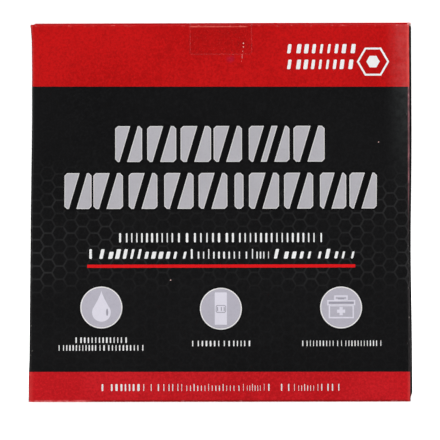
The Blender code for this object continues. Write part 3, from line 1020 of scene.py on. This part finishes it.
def build_dust_flap(end, up, label, sign):
    """Along the side panel, over the fold and in under the closure."""
    side_start = END_CUT["side"]
    fold_run = side_start - DUST_DEPTH
    radius = 3.0                                 # of the tip's corners
    points, normals = rounded_path(
        [(HALF_WIDTH, side_start), (HALF_WIDTH, DUST_DEPTH), (dust_lo.x, DUST_DEPTH)],
        [0, 0.6, 0], spacing=1.8)
    total = running_lengths(points)[-1]
    points, normals = tip_rows(points, outward(normals), radius, steps=5)

    def to_space(point, across):
        z = end_z(up, point.y)
        near_fold = smooth(HALF_WIDTH - 6, HALF_WIDTH - 1, point.x)
        lean = fold_lean(sign * HALF_WIDTH, z) * near_fold
        return Vector((sign * point.x + lean, across, z))

    def edges(run):
        past_fold = max(0.0, run - fold_run)
        if run < fold_run + 0.35:
            low, high = FRONT_Y + 0.75, BACK_Y - 0.75
            if label == "left":
                high -= GLUE_INSET
        else:
            # narrows just past the fold, then tapers more steeply at the back
            low = FRONT_Y + 2.25 + 2.5 * past_fold / 23.0
            high = BACK_Y - 1.15 - 0.52 * past_fold
            blend = smooth(0.35, 1.6, past_fold)
            low = (FRONT_Y + 0.75) * (1 - blend) + low * blend
            high = (BACK_Y - 1.4) * (1 - blend) + high * blend
        cut = corner_cut(total - run, radius)
        return low + cut, high - cut

    flap(
        f"{end}_dust_board_{label}", points, normals, to_space, edges, columns=16,
        materials=[M_black_side, M_raw, M_edge, M_white_coat],
        mat_out=lambda run: 0 if run < fold_run + 3.0 else 3,
        blend=("carton", f"{end}_dust_{label}",
               (sign * HALF_WIDTH, 0, end_z(up, DUST_DEPTH + 0.85)),
               (sign * (HALF_WIDTH - 0.9), 0, end_z(up, DUST_DEPTH))),
        piece=f"{end}_dust_flap_{label}")


def build_end(end, up):
    build_closure(end, up)
    build_tuck(end, up)
    build_dust_flap(end, up, "left", -1)
    build_dust_flap(end, up, "right", 1)


# ------------------------------------------------------------ the clear seal
def build_seal():
    """A clear sticker from the closure over the front panel's edge and down the front."""
    lift = 0.07
    thickness = 0.05
    shift_x = 0.38
    radius = 0.7                                 # of the sticker's corners
    rim = 0.22                                   # width of the more visible border
    points, normals = rounded_path(
        [(SEAL_BACK_Y, HEIGHT), (FRONT_Y, HEIGHT), (FRONT_Y, seal_lo.z)], [0, 0.35, 0],
        spacing=0.8)
    run = running_lengths(points)
    total = run[-1]

    def section_at(along):
        i = next(i for i in range(len(run) - 1) if run[i + 1] >= along)
        t = (along - run[i]) / (run[i + 1] - run[i])
        return points[i].lerp(points[i + 1], t), normals[i].lerp(normals[i + 1], t).normalized()

    # extra rows at both ends for the rounded corners and the rim
    corner_steps = [radius - radius * math.cos(math.pi / 2 * k / 6) for k in range(7)]
    marks = {0.0, rim, total - rim, total, *corner_steps}
    marks |= {total - step for step in corner_steps}
    marks |= {along for along in run if radius < along < total - radius}
    rows = []
    for mark in sorted(marks):
        if not rows or mark - rows[-1] >= 0.03:
            rows.append(mark)
    sections = [section_at(along) for along in rows]
    columns = 17

    def column_x(j, low, high):
        """The two ends, the rim's two inner lines and 13 columns between them."""
        fixed = {0: low, 1: low + rim, columns - 2: high - rim, columns - 1: high}
        if j in fixed:
            return fixed[j]
        x = low + (high - low) * ((j - 1) / 14)
        return min(max(x, low + rim + 0.05), high - rim - 0.05)

    def place(i, j):
        point, normal = sections[i]
        cut = corner_cut(min(rows[i], total - rows[i]), radius)
        x = column_x(j, seal_lo.x + shift_x + cut, seal_hi.x + shift_x - cut)
        out = lift + front_bulge(x, point.y) * max(0.0, -normal.x)
        out += 0.015 * noise_at(x / 3.0, rows[i] / 3.0, seed=9)
        outer, inner = point + normal * (out + thickness), point + normal * out
        return Vector((x, outer.x, outer.y)), Vector((x, inner.x, inner.y))

    def mat_out(i, j):
        at_end = rows[i] < rim - 1e-6 or rows[i + 1] > total - rim + 1e-6
        return 1 if at_end or j in (0, columns - 2) else 0

    ob = shell(
        "clear_seal", len(rows), columns, place, [M_seal, M_seal_edge], mat_out=mat_out,
        mat_rim=always(1))
    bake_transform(ob)
    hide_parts("seal_top_leaf", "seal_front_leaf")


# ------------------------------------------------------------ printed shapes
PRINT_SHIFT = 0.18                               # all print sits this far right of its drawing
PRINT_SINK = 0.03                                # the shapes' undersides lie inside the board
CUT_PITCH = 3.2                                  # shapes are cut this often to follow the panel


def counterclockwise(points):
    area = sum(a[0] * b[1] - b[0] * a[1] for a, b in zip(points, points[1:] + points[:1]))
    return points[::-1] if area < 0 else points


def inset(points, distance):
    """A convex outline moved in by a distance on every side."""
    points = [Vector(point) for point in counterclockwise(points)]
    moved = []
    for i, here in enumerate(points):
        arriving = (here - points[i - 1]).normalized()
        leaving = (points[(i + 1) % len(points)] - here).normalized()
        normal_a = Vector((-arriving.y, arriving.x))
        normal_b = Vector((-leaving.y, leaving.x))
        stretch = max(0.2, 1 + normal_a.dot(normal_b))
        moved.append(tuple(here + (normal_a + normal_b) * (distance / stretch)))
    return moved


class Layer:
    """Flat shapes of one ink on the front or back, joined into one thin raised mesh."""

    def __init__(self, name, material, lift, face="front"):
        self.name = name
        self.material = material
        self.lift = lift
        self.face = face
        self.bm = bmesh.new()

    def verts(self, points):
        return [self.bm.verts.new((x, 0, z)) for x, z in points]

    def polygon(self, points):
        self.bm.faces.new(self.verts(counterclockwise(points)))

    def ring(self, outer, inner):
        """A band between two outlines with as many points."""
        a, b = self.verts(outer), self.verts(inner)
        for i in range(len(a)):
            j = (i + 1) % len(a)
            self.bm.faces.new([a[i], a[j], b[j], b[i]])

    def border(self, outline, width):
        self.ring(outline, inset(outline, width))

    def finish(self):
        bm = self.bm
        for k in range(-17, 18):
            planes = (
                ((k * CUT_PITCH + 0.013, 0, 0), (1, 0, 0)),
                ((0, 0, MID + k * CUT_PITCH + 0.017), (0, 0, 1)),
            )
            for place, normal in planes:
                geometry = list(bm.verts) + list(bm.edges) + list(bm.faces)
                bmesh.ops.bisect_plane(
                    bm, geom=geometry, dist=1e-4, plane_co=place, plane_no=normal)
        for face in bm.faces:
            if face.normal.y > 0:
                face.normal_flip()
        extruded = bmesh.ops.extrude_face_region(bm, geom=list(bm.faces))["geom"]
        raised = {item for item in extruded if isinstance(item, bmesh.types.BMVert)}
        for vert in bm.verts:
            x, z = vert.co.x + PRINT_SHIFT, vert.co.z
            lift = self.lift if vert in raised else -PRINT_SINK
            if self.face == "front":
                vert.co = Vector((x + fold_lean(x, z), FRONT_Y - front_bulge(x, z) - lift, z))
            else:
                vert.co = Vector((-x, BACK_Y + back_bulge(-x, z) + lift, z))
        bmesh.ops.triangulate(bm, faces=[face for face in bm.faces if len(face.verts) > 4])
        bmesh.ops.recalc_face_normals(bm, faces=bm.faces)
        ob = finish_mesh(bm, self.name, [self.material], 30)
        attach(ob, "carton")


def rect(left, right, bottom, top, cut=0.0, shear=0.0):
    """A rectangle with its corners cut, leaning by shear."""
    if cut <= 0:
        points = [(left, bottom), (right, bottom), (right, top), (left, top)]
    else:
        points = [
            (left + cut, bottom), (right - cut, bottom), (right, bottom + cut),
            (right, top - cut), (right - cut, top), (left + cut, top),
            (left, top - cut), (left, bottom + cut),
        ]
    middle = (bottom + top) / 2
    return [(x + shear * (z - middle), z) for x, z in points]


def ellipse(x, z, radius_x, radius_z, count):
    angles = [2 * math.pi * k / count for k in range(count)]
    return [(x + radius_x * math.cos(a), z + radius_z * math.sin(a)) for a in angles]


def circle(x, z, radius, count=64):
    return ellipse(x, z, radius, radius, count)


def bars(layer, bottom, top, left, right, count, fill, seed, shear=0.0, drop=0.0, tall=()):
    """A word stood for by plain upright bars; those not in tall are lower by the share drop."""
    pitch = (right - left) / count
    for k in range(count):
        width = pitch * fill * (1 + 0.28 * math.sin(7.3 * k + 2.1 * seed))
        width = min(width, pitch * 0.80)
        centre = left + pitch * (k + 0.5)
        if k == count - 1:
            centre = right - width / 2
        elif k == 0:
            centre = left + width / 2
        bar_top = top if k in tall else bottom + (top - bottom) * (1 - drop)
        cut = min(0.16, width * 0.25)
        layer.polygon(rect(centre - width / 2, centre + width / 2, bottom, bar_top, cut, shear))


# The title's two rows of stencil blocks: bottom, top, then (left, right) of each block.
TITLE_ROWS = (
    (68.3, 78.5, (
        (-30.1, -21.9), (-21.0, -12.2), (-11.5, -2.3), (-2.1, 6.5), (7.9, 20.0), (20.6, 30.0),
    )),
    (54.95, 65.15, (
        (-44.8, -36.4), (-36.4, -27.4), (-26.3, -17.6), (-16.2, -7.3), (-6.4, 2.3),
        (3.8, 6.9), (7.9, 17.0), (17.9, 26.7), (28.1, 36.1), (36.5, 44.8),
    )),
)


def stencil(left, right, bottom, top, gap=2.15, lean=0.30, cut=0.75):
    """One title block: a plate with cut corners, parted by parallel slanting gaps."""
    width = right - left
    gaps = 0 if width < 4.5 else (2 if width > 10.5 else 1)
    slant = lean * (top - bottom) / 2
    parts = []
    for k in range(gaps + 1):
        start = left + width * (k / (gaps + 1))
        end = left + width * ((k + 1) / (gaps + 1))
        if k > 0:
            start += gap / 2
            points = [(start - slant, bottom)]
        else:
            points = [(start, bottom + cut), (start + cut, bottom)]
        if k < gaps:
            end -= gap / 2
            points += [(end - slant, bottom), (end + slant, top)]
        else:
            points += [(end - cut, bottom), (end, bottom + cut), (end, top - cut),
                       (end - cut, top)]
        if k > 0:
            points += [(start + slant, top)]
        else:
            points += [(start + cut, top), (start, top - cut)]
        parts.append(points)
    return parts


def build_title():
    block_inset = 0.28
    halo = Layer("title_halo", M_halo, 0.015)
    rim = Layer("title_rim", M_silver_rim, 0.030)
    fill = Layer("title_fill", M_silver, 0.042)
    for bottom, top, blocks in TITLE_ROWS:
        for left, right in blocks:
            left, right = left + block_inset, right - block_inset
            halo.polygon(rect(left - 0.30, right + 0.30, bottom - 0.45, top + 0.45, cut=0.7))
            for part in stencil(left, right, bottom, top):
                rim.polygon(part)
                fill.polygon(inset(part, 0.22))
    for layer in (halo, rim, fill):
        layer.finish()


BAND_TALL = (0, 3, 7, 11)

# The front's white lines: bottom, top, then the words as
# (left, right, bar count, fill, seed[, shear, drop, tall bars]).
FRONT_LINES = (
    # under the title
    (45.4, 48.05, (
        (-28.8, -11.5, 12, 0.31, 7), (-9.8, 2.2, 7, 0.31, 4), (3.3, 28.9, 17, 0.31, 10),
    )),
    # above the red rule, with slanted heavier words
    (40.75, 43.5, (
        (-37.6, -36.6, 1, 0.57, 1, 0.0, 0.27, (0,)),
        (-34.2, -9.8, 12, 0.4712, 12, 0.22, 0.27, (0, 2, 3, 4, 5)),
        (-8.4, 7.6, 11, 0.2888, 7, 0.0, 0.27, (0, 3)),
        (9.0, 13.8, 5, 0.304, 3, 0.0, 0.27, (0,)),
        (15.5, 28.6, 6, 0.418, 6, 0.22, 0.27, (0,)),
        (30.0, 38.0, 4, 0.418, 4, 0.22, 0.27, (0,)),
    )),
    # captions under the discs
    (16.8, 18.4, ((-41.2, -26.7, 14, 0.34, 9),)),
    (14.6, 16.2, ((-45.9, -34.2, 13, 0.34, 8), (-33.4, -22.0, 11, 0.34, 7))),
    (15.8, 17.4, ((-8.1, 1.2, 8, 0.34, 5), (2.2, 8.4, 6, 0.34, 4))),
    (15.8, 17.4, ((23.2, 33.4, 11, 0.28, 7), (34.3, 45.6, 13, 0.28, 8))),
    # in the lower red band
    (3.1, 5.08, (
        (-33.9, -30.8, 2, 0.407, 2), (-30.0, -23.1, 6, 0.4588, 4),
        (-22.0, -19.7, 2, 0.2115, 2), (-18.4, -17.6, 1, 0.329, 1),
        (-16.3, -12.1, 4, 0.188, 3), (-11.2, 5.3, 16, 0.1974, 11, 0.0, 0.22, BAND_TALL),
        (6.4, 12.4, 8, 0.188, 5, 0.0, 0.22, BAND_TALL), (13.5, 17.5, 2, 0.235, 2),
        (18.7, 19.5, 1, 0.329, 1), (20.9, 27.7, 8, 0.1974, 5, 0.0, 0.22, BAND_TALL),
        (28.6, 33.7, 4, 0.2115, 3),
    )),
    # two short rows at the top right, beside the badge
    (99.1, 101.7, ((19.3, 38.5, 9, 0.44, 9, 0.14),)),
    (94.6, 97.3, ((19.3, 37.8, 9, 0.44, 9, 0.14),)),
)


def build_lines():
    white = Layer("white_lines", M_white_ink, 0.035)
    for bottom, top, words in FRONT_LINES:
        for word in words:
            bars(white, bottom, top, *word)
    # a plain six-sided badge, top right
    x, z, radius = 43.5, 96.7, 4.6
    white.ring(circle(x, z, radius, 6), circle(x, z, radius - 0.62, 6))
    white.polygon(circle(x, z, 1.9, 6))
    white.finish()
    rule = Layer("red_rule", M_rule, 0.030)
    rule.polygon(rect(-37.9, 38.4, 38.19, 39.10))
    rule.finish()


def drop_outline(centre_x, centre_z, radius, tip, foot, steps=40):
    """A plain water drop; tip and foot are heights from the centre."""
    round_z = foot + radius
    angles = [math.radians(-205 + 230 * (k / steps)) for k in range(steps + 1)]
    body = [(radius * math.cos(a), round_z + radius * math.sin(a)) for a in angles]
    # the sides curve in towards the point
    end_x, end_z_ = body[-1]
    right = [(end_x * (1 - k / 9) ** 1.25, end_z_ + (tip - end_z_) * (k / 9))
             for k in range(1, 9)]
    left = [(-x, z) for x, z in reversed(right)]
    return [(centre_x + x, centre_z + z) for x, z in body + right + [(0.0, tip)] + left]


def draw_drop(pale, shade, x, z):
    pale.polygon(drop_outline(x, z, radius=2.65, tip=4.75, foot=-4.05))
    shade.polygon(ellipse(x + 1.62, z - 1.35, 0.30, 1.05, 20))


def draw_strip(pale, shade, x, z):
    """An upright adhesive strip with a bordered pad and three short bars."""
    pale.polygon(rect(x - 1.75, x + 1.70, z - 4.55, z + 4.65, cut=0.12))
    shade.border(rect(x - 1.45, x + 1.45, z - 1.15, z + 1.05, cut=0.35), 0.20)
    for shift in (-0.95, 0.12, 0.95):
        shade.polygon(rect(x + shift - 0.13, x + shift + 0.13, z - 0.65, z + 0.5))


def draw_case(pale, shade, x, z):
    """A first-aid case in outline: body, lid, handle and cross."""
    pale.border(rect(x - 3.55, x + 3.65, z - 3.1, z + 0.75), 0.42)
    pale.border(rect(x - 3.95, x + 4.05, z + 0.62, z + 2.1), 0.38)
    shade.polygon(rect(x - 3.50, x + 3.60, z + 1.05, z + 1.62))
    pale.border(rect(x - 1.95, x + 1.9, z + 1.95, z + 3.45), 0.42)
    shade.polygon(rect(x - 0.9, x + 0.85, z + 2.30, z + 2.65))
    t, a = 0.46, 1.15                            # half thickness and half length of its arms
    cross = [(-t, -a), (t, -a), (t, -t), (a, -t), (a, t), (t, t),
             (t, a), (-t, a), (-t, t), (-a, t), (-a, -t), (-t, -t)]
    pale.polygon([(x + dx, z - 1.05 + dz) for dx, dz in cross])


# the three discs: centre x, z and the picture on each
DISCS = ((-33.9, 26.9, draw_drop), (0.1, 26.5, draw_strip), (34.3, 26.8, draw_case))
DISC_RADIUS = 5.96


def build_icons():
    halo = Layer("disc_halo", M_halo, 0.012)
    disc = Layer("disc_fill", M_disc, 0.028)
    ring = Layer("disc_ring", M_ring, 0.038)
    pale = Layer("disc_icons", M_icon, 0.045)
    shade = Layer("disc_icon_marks", M_icon_dark, 0.055)
    for x, z, draw in DISCS:
        halo.polygon(circle(x, z, DISC_RADIUS + 0.42))
        disc.polygon(circle(x, z, DISC_RADIUS))
        ring.ring(circle(x, z, DISC_RADIUS), circle(x, z, DISC_RADIUS - 0.32))
        draw(pale, shade, x, z)
    for layer in (halo, disc, ring, pale, shade):
        layer.finish()


def build_back():
    """A plain generic layout: a heading, nine lines and three bordered panels."""
    white = Layer("back_lines", M_white_ink, 0.035, face="back")
    grey = Layer("back_panels", M_disc, 0.030, face="back")
    margin = 38.0
    bars(white, 78.6, 81.6, -margin, -14, count=8, fill=0.66, seed=3)
    bars(white, 78.6, 81.6, -12, 16, count=9, fill=0.66, seed=4)
    for row in range(9):
        z = 72.5 - row * 2.9
        left = -margin
        word = 0
        while left < (6.0 if row == 8 else 36.0):
            count = 2 + int(3.2 + 3.2 * math.sin(3.7 * word + 1.9 * row))
            right = left + count * 1.25
            if right > margin:
                break
            bars(white, z, z + 1.35, left, right, count, fill=0.62, seed=word + row, drop=0.25,
                 tall=(0, 2))
            left = right + 1.2
            word += 1
    for panel in range(3):
        left = -margin + panel * 26.2
        grey.border(rect(left, left + 23.6, 18.0, 40.0, cut=1.2), 0.45)
        for row in range(3):
            right = left + 20.0 - 4.0 * (row == 2)
            bars(white, 30.5 - 3.2 * row, 31.8 - 3.2 * row, left + 3.0, right, count=9, fill=0.6,
                 seed=row + panel, drop=0.25, tall=(0, 3))
        grey.polygon(circle(left + 11.8, 36.0, 1.9, 36))
    white.finish()
    grey.finish()


# bare flecks: centre x, z, radius along x, radius along z, seed of the ragged outline
FLECKS = (
    (6.71, 102.0, 0.19, 0.17, 1.3),
    (6.68, 100.95, 0.13, 0.20, 2.1),
    (6.54, 99.73, 0.10, 0.09, 0.7),
    (6.34, 97.96, 0.030, 0.75, 1.9),             # a thin upright scratch
    (6.14, 96.91, 0.05, 0.07, 2.6),
    (-14.18, 34.67, 0.16, 0.16, 1.1),
    (44.96, 73.84, 0.15, 0.13, 1.7),
)


def build_wear(corners=11):
    """Bare flecks and a scratch near the top right of the seal, and two stray specks."""
    layer = Layer("bare_flecks", M_fleck, 0.05)
    for x, z, radius_x, radius_z, seed in FLECKS:
        outline = []
        for k in range(corners):
            angle = 2 * math.pi * k / corners
            ragged = 0.38 * math.sin(3.1 * k * seed + seed)
            size = 1 + ragged * (0.6 + 0.4 * math.cos(5.3 * k + seed))
            outline.append((x + radius_x * size * math.cos(angle),
                            z + radius_z * size * math.sin(angle)))
        layer.polygon(outline)
    layer.finish()


# ------------------------------------------------------------ contents
def spiral(core, pitch, half, length, arc_steps=16):
    """Centre line of the flat roll, and the number of turns made at each point."""
    points, turns = [], []
    total, turn, side = 0.0, 0.0, 1
    while True:
        for k in range(arc_steps + 1):
            angle = math.radians(-90 + 180 * k / arc_steps)
            turned = turn + k / arc_steps * 0.5
            radius = core + pitch * turned
            x = side * (half + radius * math.cos(angle))
            y = side * radius * math.sin(angle)
            if points:
                last_x, last_y = points[-1]
                run = math.hypot(x - last_x, y - last_y)
                if total + run > length:
                    part = (length - total) / run
                    points.append((last_x + (x - last_x) * part, last_y + (y - last_y) * part))
                    turns.append(turns[-1])
                    return points, turns
                total += run
            points.append((x, y))
            turns.append(turned)
        turn += 0.5
        side = -side


def build_band():
    """The rubber band, rolled flat."""
    corners, corner_turns = spiral(core=1.2, pitch=1.02, half=37.0, length=1448.0)
    # long flats get extra points, so that they can ripple
    points, turns = [], []
    for i in range(len(corners) - 1):
        a, b = Vector(corners[i]), Vector(corners[i + 1])
        pieces = max(1, int((b - a).length / 6.0))
        for k in range(pieces):
            points.append(a.lerp(b, k / pieces))
            turns.append(
                corner_turns[i] + (corner_turns[i + 1] - corner_turns[i]) * k / pieces)
    points.append(Vector(corners[-1]))
    turns.append(corner_turns[-1])
    normals = curve_normals(points)
    thickness = 0.90
    width = 101.6
    lower = [0.0, 0.22, 0.6, 4.0, 12.0, 24.0, 38.0]
    levels = lower + [width / 2] + [width - level for level in reversed(lower)]

    def place(i, j):
        level, point, normal = levels[i], points[j], normals[j]
        from_edge = min(level, width - level)
        half = thickness / 2 * (0.62 + 0.38 * smooth(0.0, 0.6, from_edge))
        upper = level > width / 2
        # the band's edges don't line up exactly from turn to turn
        uneven = noise_at(turns[j] * 1.1, point.x / 60, seed=11 if upper else 12)
        sag = 0.45 * (0.5 + 0.5 * uneven)
        z = ROLL_FOOT + level + (-sag if upper else sag) * smooth(20.0, 0.0, from_edge)
        wobble = 0.03 * noise_at(point.x / 9, level / 14, turns[j], seed=13)
        return tuple(
            Vector((point.x + normal.x * out, point.y + normal.y * out + ROLL_Y, z))
            for out in (wobble + half, wobble - half))

    def edge_slot(i, j):
        return 1 if i in (0, len(levels) - 2) else 0

    ob = shell(
        "wrap_band", len(levels), len(points), place, [M_rubber, M_rubber_edge],
        mat_out=edge_slot, mat_in=edge_slot, mat_rim=always(1), sharp_degrees=50)
    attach(ob, "contents")
    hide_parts("wrap_roll")


def build_film_sleeve():
    """A wrinkled tube of clear film round the roll."""
    clearance = 0.075
    radius = sleeve_hi.y - ROLL_Y - clearance
    half = sleeve_hi.x - radius - clearance
    points, normals = [], []
    for side, first_angle in ((1, -90), (-1, 90)):
        for k in range(21):
            angle = math.radians(first_angle + 180 * k / 20)
            normal = Vector((math.cos(angle), math.sin(angle)))
            points.append(Vector((side * half + radius * normal.x, radius * normal.y)))
            normals.append(normal)
        here = points[-1]
        for k in range(1, 12):
            points.append(here.lerp(Vector((-side * half, radius * side)), k / 12))
            normals.append(Vector((0, side)))
    steps = 36
    low, high = sleeve_lo.z, sleeve_hi.z
    levels = [low + (high - low) * k / steps for k in range(steps + 1)]

    def place(i, j):
        z, point, normal = levels[i], points[j], normals[j]
        upper = i > steps // 2
        from_end = min(z - levels[0], levels[-1] - z)
        out = -0.22 * smooth(5.0, 0.0, from_end)         # the open ends cling to the roll
        out += 0.10 * noise_at(point.x / 7, point.y / 7, z / 16, seed=14)
        out += 0.05 * noise_at(point.x / 2.5, point.y / 2.5, z / 9, seed=15)
        ragged = 0.72 * noise_at(point.x / 11, point.y / 6, 1.0 if upper else 7.0, seed=16)
        height = z + ragged * smooth(8.0, 0.0, from_end) * (-1 if upper else 1)
        return tuple(
            Vector((point.x + normal.x * shift, point.y + normal.y * shift + ROLL_Y, height))
            for shift in (out, out - 0.05))

    ob = shell(
        "clear_sleeve", len(levels), len(points), place, [M_sleeve], wrap=True, sharp_degrees=60)
    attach(ob, "contents")
    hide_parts("film_sleeve")


def build_leaflet():
    """One sheet folded in three behind the roll, its layers springing slightly apart."""
    width, layers = 88.0, 3
    pitch = 0.62                                 # from layer to layer
    thickness = 0.10
    centre_y = (leaflet_lo.y + leaflet_hi.y) / 2
    points = []
    x, y, side = -width / 2, -pitch * (layers - 1) / 2, 1
    for layer in range(layers):
        for k in range(31):
            spring = 0.16 * math.sin(math.pi * k / 30) * (layer - 1)
            points.append(Vector((x + side * width * k / 30, y + spring)))
        x += side * width
        if layer < layers - 1:
            radius = pitch / 2
            for k in range(1, 6):
                angle = math.radians(-90 + 30 * k)
                points.append(Vector((x + side * radius * math.cos(angle),
                                      y + radius + radius * math.sin(angle))))
            y += pitch
            side = -side
    normals = curve_normals(points)
    steps = 24

    def place(i, j):
        z = leaflet_lo.z + (leaflet_hi.z - leaflet_lo.z) * i / steps
        point, normal = points[j], normals[j]
        wave = 0.05 * noise_at(point.x / 15, z / 18, j / len(points) * 3, seed=21)
        return tuple(
            Vector((point.x + normal.x * out, centre_y + point.y + normal.y * out, z))
            for out in (wave + thickness / 2, wave - thickness / 2))

    ob = shell("leaflet_sheet", steps + 1, len(points), place, [M_paper], sharp_degrees=50)
    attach(ob, "leaflet")
    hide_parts("instruction_leaflet")


build_walls()
build_end("top", 1)
build_end("bottom", -1)
build_seal()
build_title()
build_lines()
build_icons()
build_back()
build_wear()
build_band()
build_film_sleeve()
build_leaflet()


# ------------------------------------------------------------ stage, in metres
def floor_material():
    """Diffuse grey for reflected light, but see-through to the camera and to shadows.

    The view through it is dimmed a little near the object, so that flaps that hang below the
    base can still be seen.
    """
    mat = Shader("floor_white")
    diffuse = mat.node("ShaderNodeBsdfDiffuse")
    mat.put(diffuse.inputs[0], (0.50, 0.50, 0.50))
    clear = mat.node("ShaderNodeBsdfTransparent")
    rays = mat.node("ShaderNodeLightPath")
    geometry = mat.node("ShaderNodeNewGeometry")
    distance = mat.node("ShaderNodeVectorMath", operation="LENGTH")
    mat.link(geometry.outputs["Position"], distance.inputs[0])
    clearness = mat.node("ShaderNodeMapRange")
    clearness.inputs["From Min"].default_value = 0.06
    clearness.inputs["From Max"].default_value = 0.45
    clearness.inputs["To Min"].default_value = 0.66
    clearness.inputs["To Max"].default_value = 1.0
    mat.link(distance.outputs["Value"], clearness.inputs["Value"])
    either = mat.math(
        "MAXIMUM", rays.outputs["Is Camera Ray"], rays.outputs["Is Shadow Ray"])
    amount = mat.times(clearness.outputs["Result"], either)
    grey = mat.node("ShaderNodeCombineColor")
    for k in range(3):
        mat.link(amount, grey.inputs[k])
    mat.link(grey.outputs[0], clear.inputs[0])
    both = mat.node("ShaderNodeAddShader")
    mat.link(diffuse.outputs[0], both.inputs[0])
    mat.link(clear.outputs[0], both.inputs[1])
    return mat.finish(both)


def build_floor():
    half = 40.0
    mesh = bpy.data.meshes.new("floor")
    corners = [(-half, -half, 0), (half, -half, 0), (half, half, 0), (-half, half, 0)]
    mesh.from_pydata(corners, [], [(0, 1, 2, 3)])
    ob = bpy.data.objects.new("floor", mesh)
    bpy.context.scene.collection.objects.link(ob)
    ob.location.z = -0.00006
    mesh.materials.append(floor_material())


def build_world():
    """White to the camera, and a weak ambient light for everything else."""
    world = bpy.data.worlds.new("studio")
    bpy.context.scene.world = world
    world.use_nodes = True
    nodes, links = world.node_tree.nodes, world.node_tree.links
    nodes.clear()
    output = nodes.new("ShaderNodeOutputWorld")
    mix = nodes.new("ShaderNodeMixShader")
    rays = nodes.new("ShaderNodeLightPath")
    links.new(rays.outputs["Is Camera Ray"], mix.inputs[0])
    for socket, strength in ((1, 0.12), (2, 1.05)):      # ambient, then the camera's backdrop
        background = nodes.new("ShaderNodeBackground")
        background.inputs[0].default_value = (1, 1, 1, 1)
        background.inputs[1].default_value = strength
        links.new(background.outputs[0], mix.inputs[socket])
    links.new(mix.outputs[0], output.inputs[0])


LIGHT_TARGET = Vector((0, 0, 0.055))

# area lights: name, place, width and height, power in watts
LIGHTS = (
    ("key_left", (-0.88, -0.84, 0.34), (0.6, 0.6), 8.6),
    ("key_right", (0.98, -0.74, 0.34), (0.6, 0.6), 8.2),
    ("top_soft", (0.0, 0.05, 1.15), (0.8, 0.5), 7.0),
    ("back_left", (-0.80, 0.85, 0.55), (0.6, 0.6), 9.0),
    ("back_right", (0.80, 0.85, 0.55), (0.6, 0.6), 9.0),
)


def build_lights():
    for name, place, size, power in LIGHTS:
        light = bpy.data.lights.new(name, "AREA")
        light.shape = "RECTANGLE"
        light.size, light.size_y = size
        light.energy = power
        ob = bpy.data.objects.new(name, light)
        bpy.context.scene.collection.objects.link(ob)
        ob.location = place
        ob.rotation_euler = (LIGHT_TARGET - Vector(place)).to_track_quat("-Z", "Y").to_euler()
        ob.visible_camera = False


def build_camera():
    """A far camera with a long lens, slightly to the right of the front and above it."""
    distance = 4.0
    view_width = 0.1250                          # width seen at that distance
    swing, rise, roll = math.radians(0.95), math.radians(1.05), math.radians(-0.16)
    aim = Vector((0.00009, -0.016, 0.05174))
    data = bpy.data.cameras.new("camera")
    camera = bpy.data.objects.new("camera", data)
    bpy.context.scene.collection.objects.link(camera)
    bpy.context.scene.camera = camera
    data.sensor_width = 36.0
    data.lens = data.sensor_width * distance / view_width
    data.clip_start, data.clip_end = 0.05, 200.0
    camera.location = Vector((
        0.054 + distance * math.tan(swing), aim.y - distance,
        0.1072 + distance * math.tan(rise)))
    turn = (aim - camera.location).to_track_quat("-Z", "Y").to_matrix()
    camera.rotation_euler = (turn @ Matrix.Rotation(roll, 3, "Z")).to_euler()


build_floor()
build_world()
build_lights()
build_camera()

view = bpy.context.scene.view_settings
view.view_transform = "Standard"
view.look = "None"
view.exposure = 0.0
view.gamma = 1.0
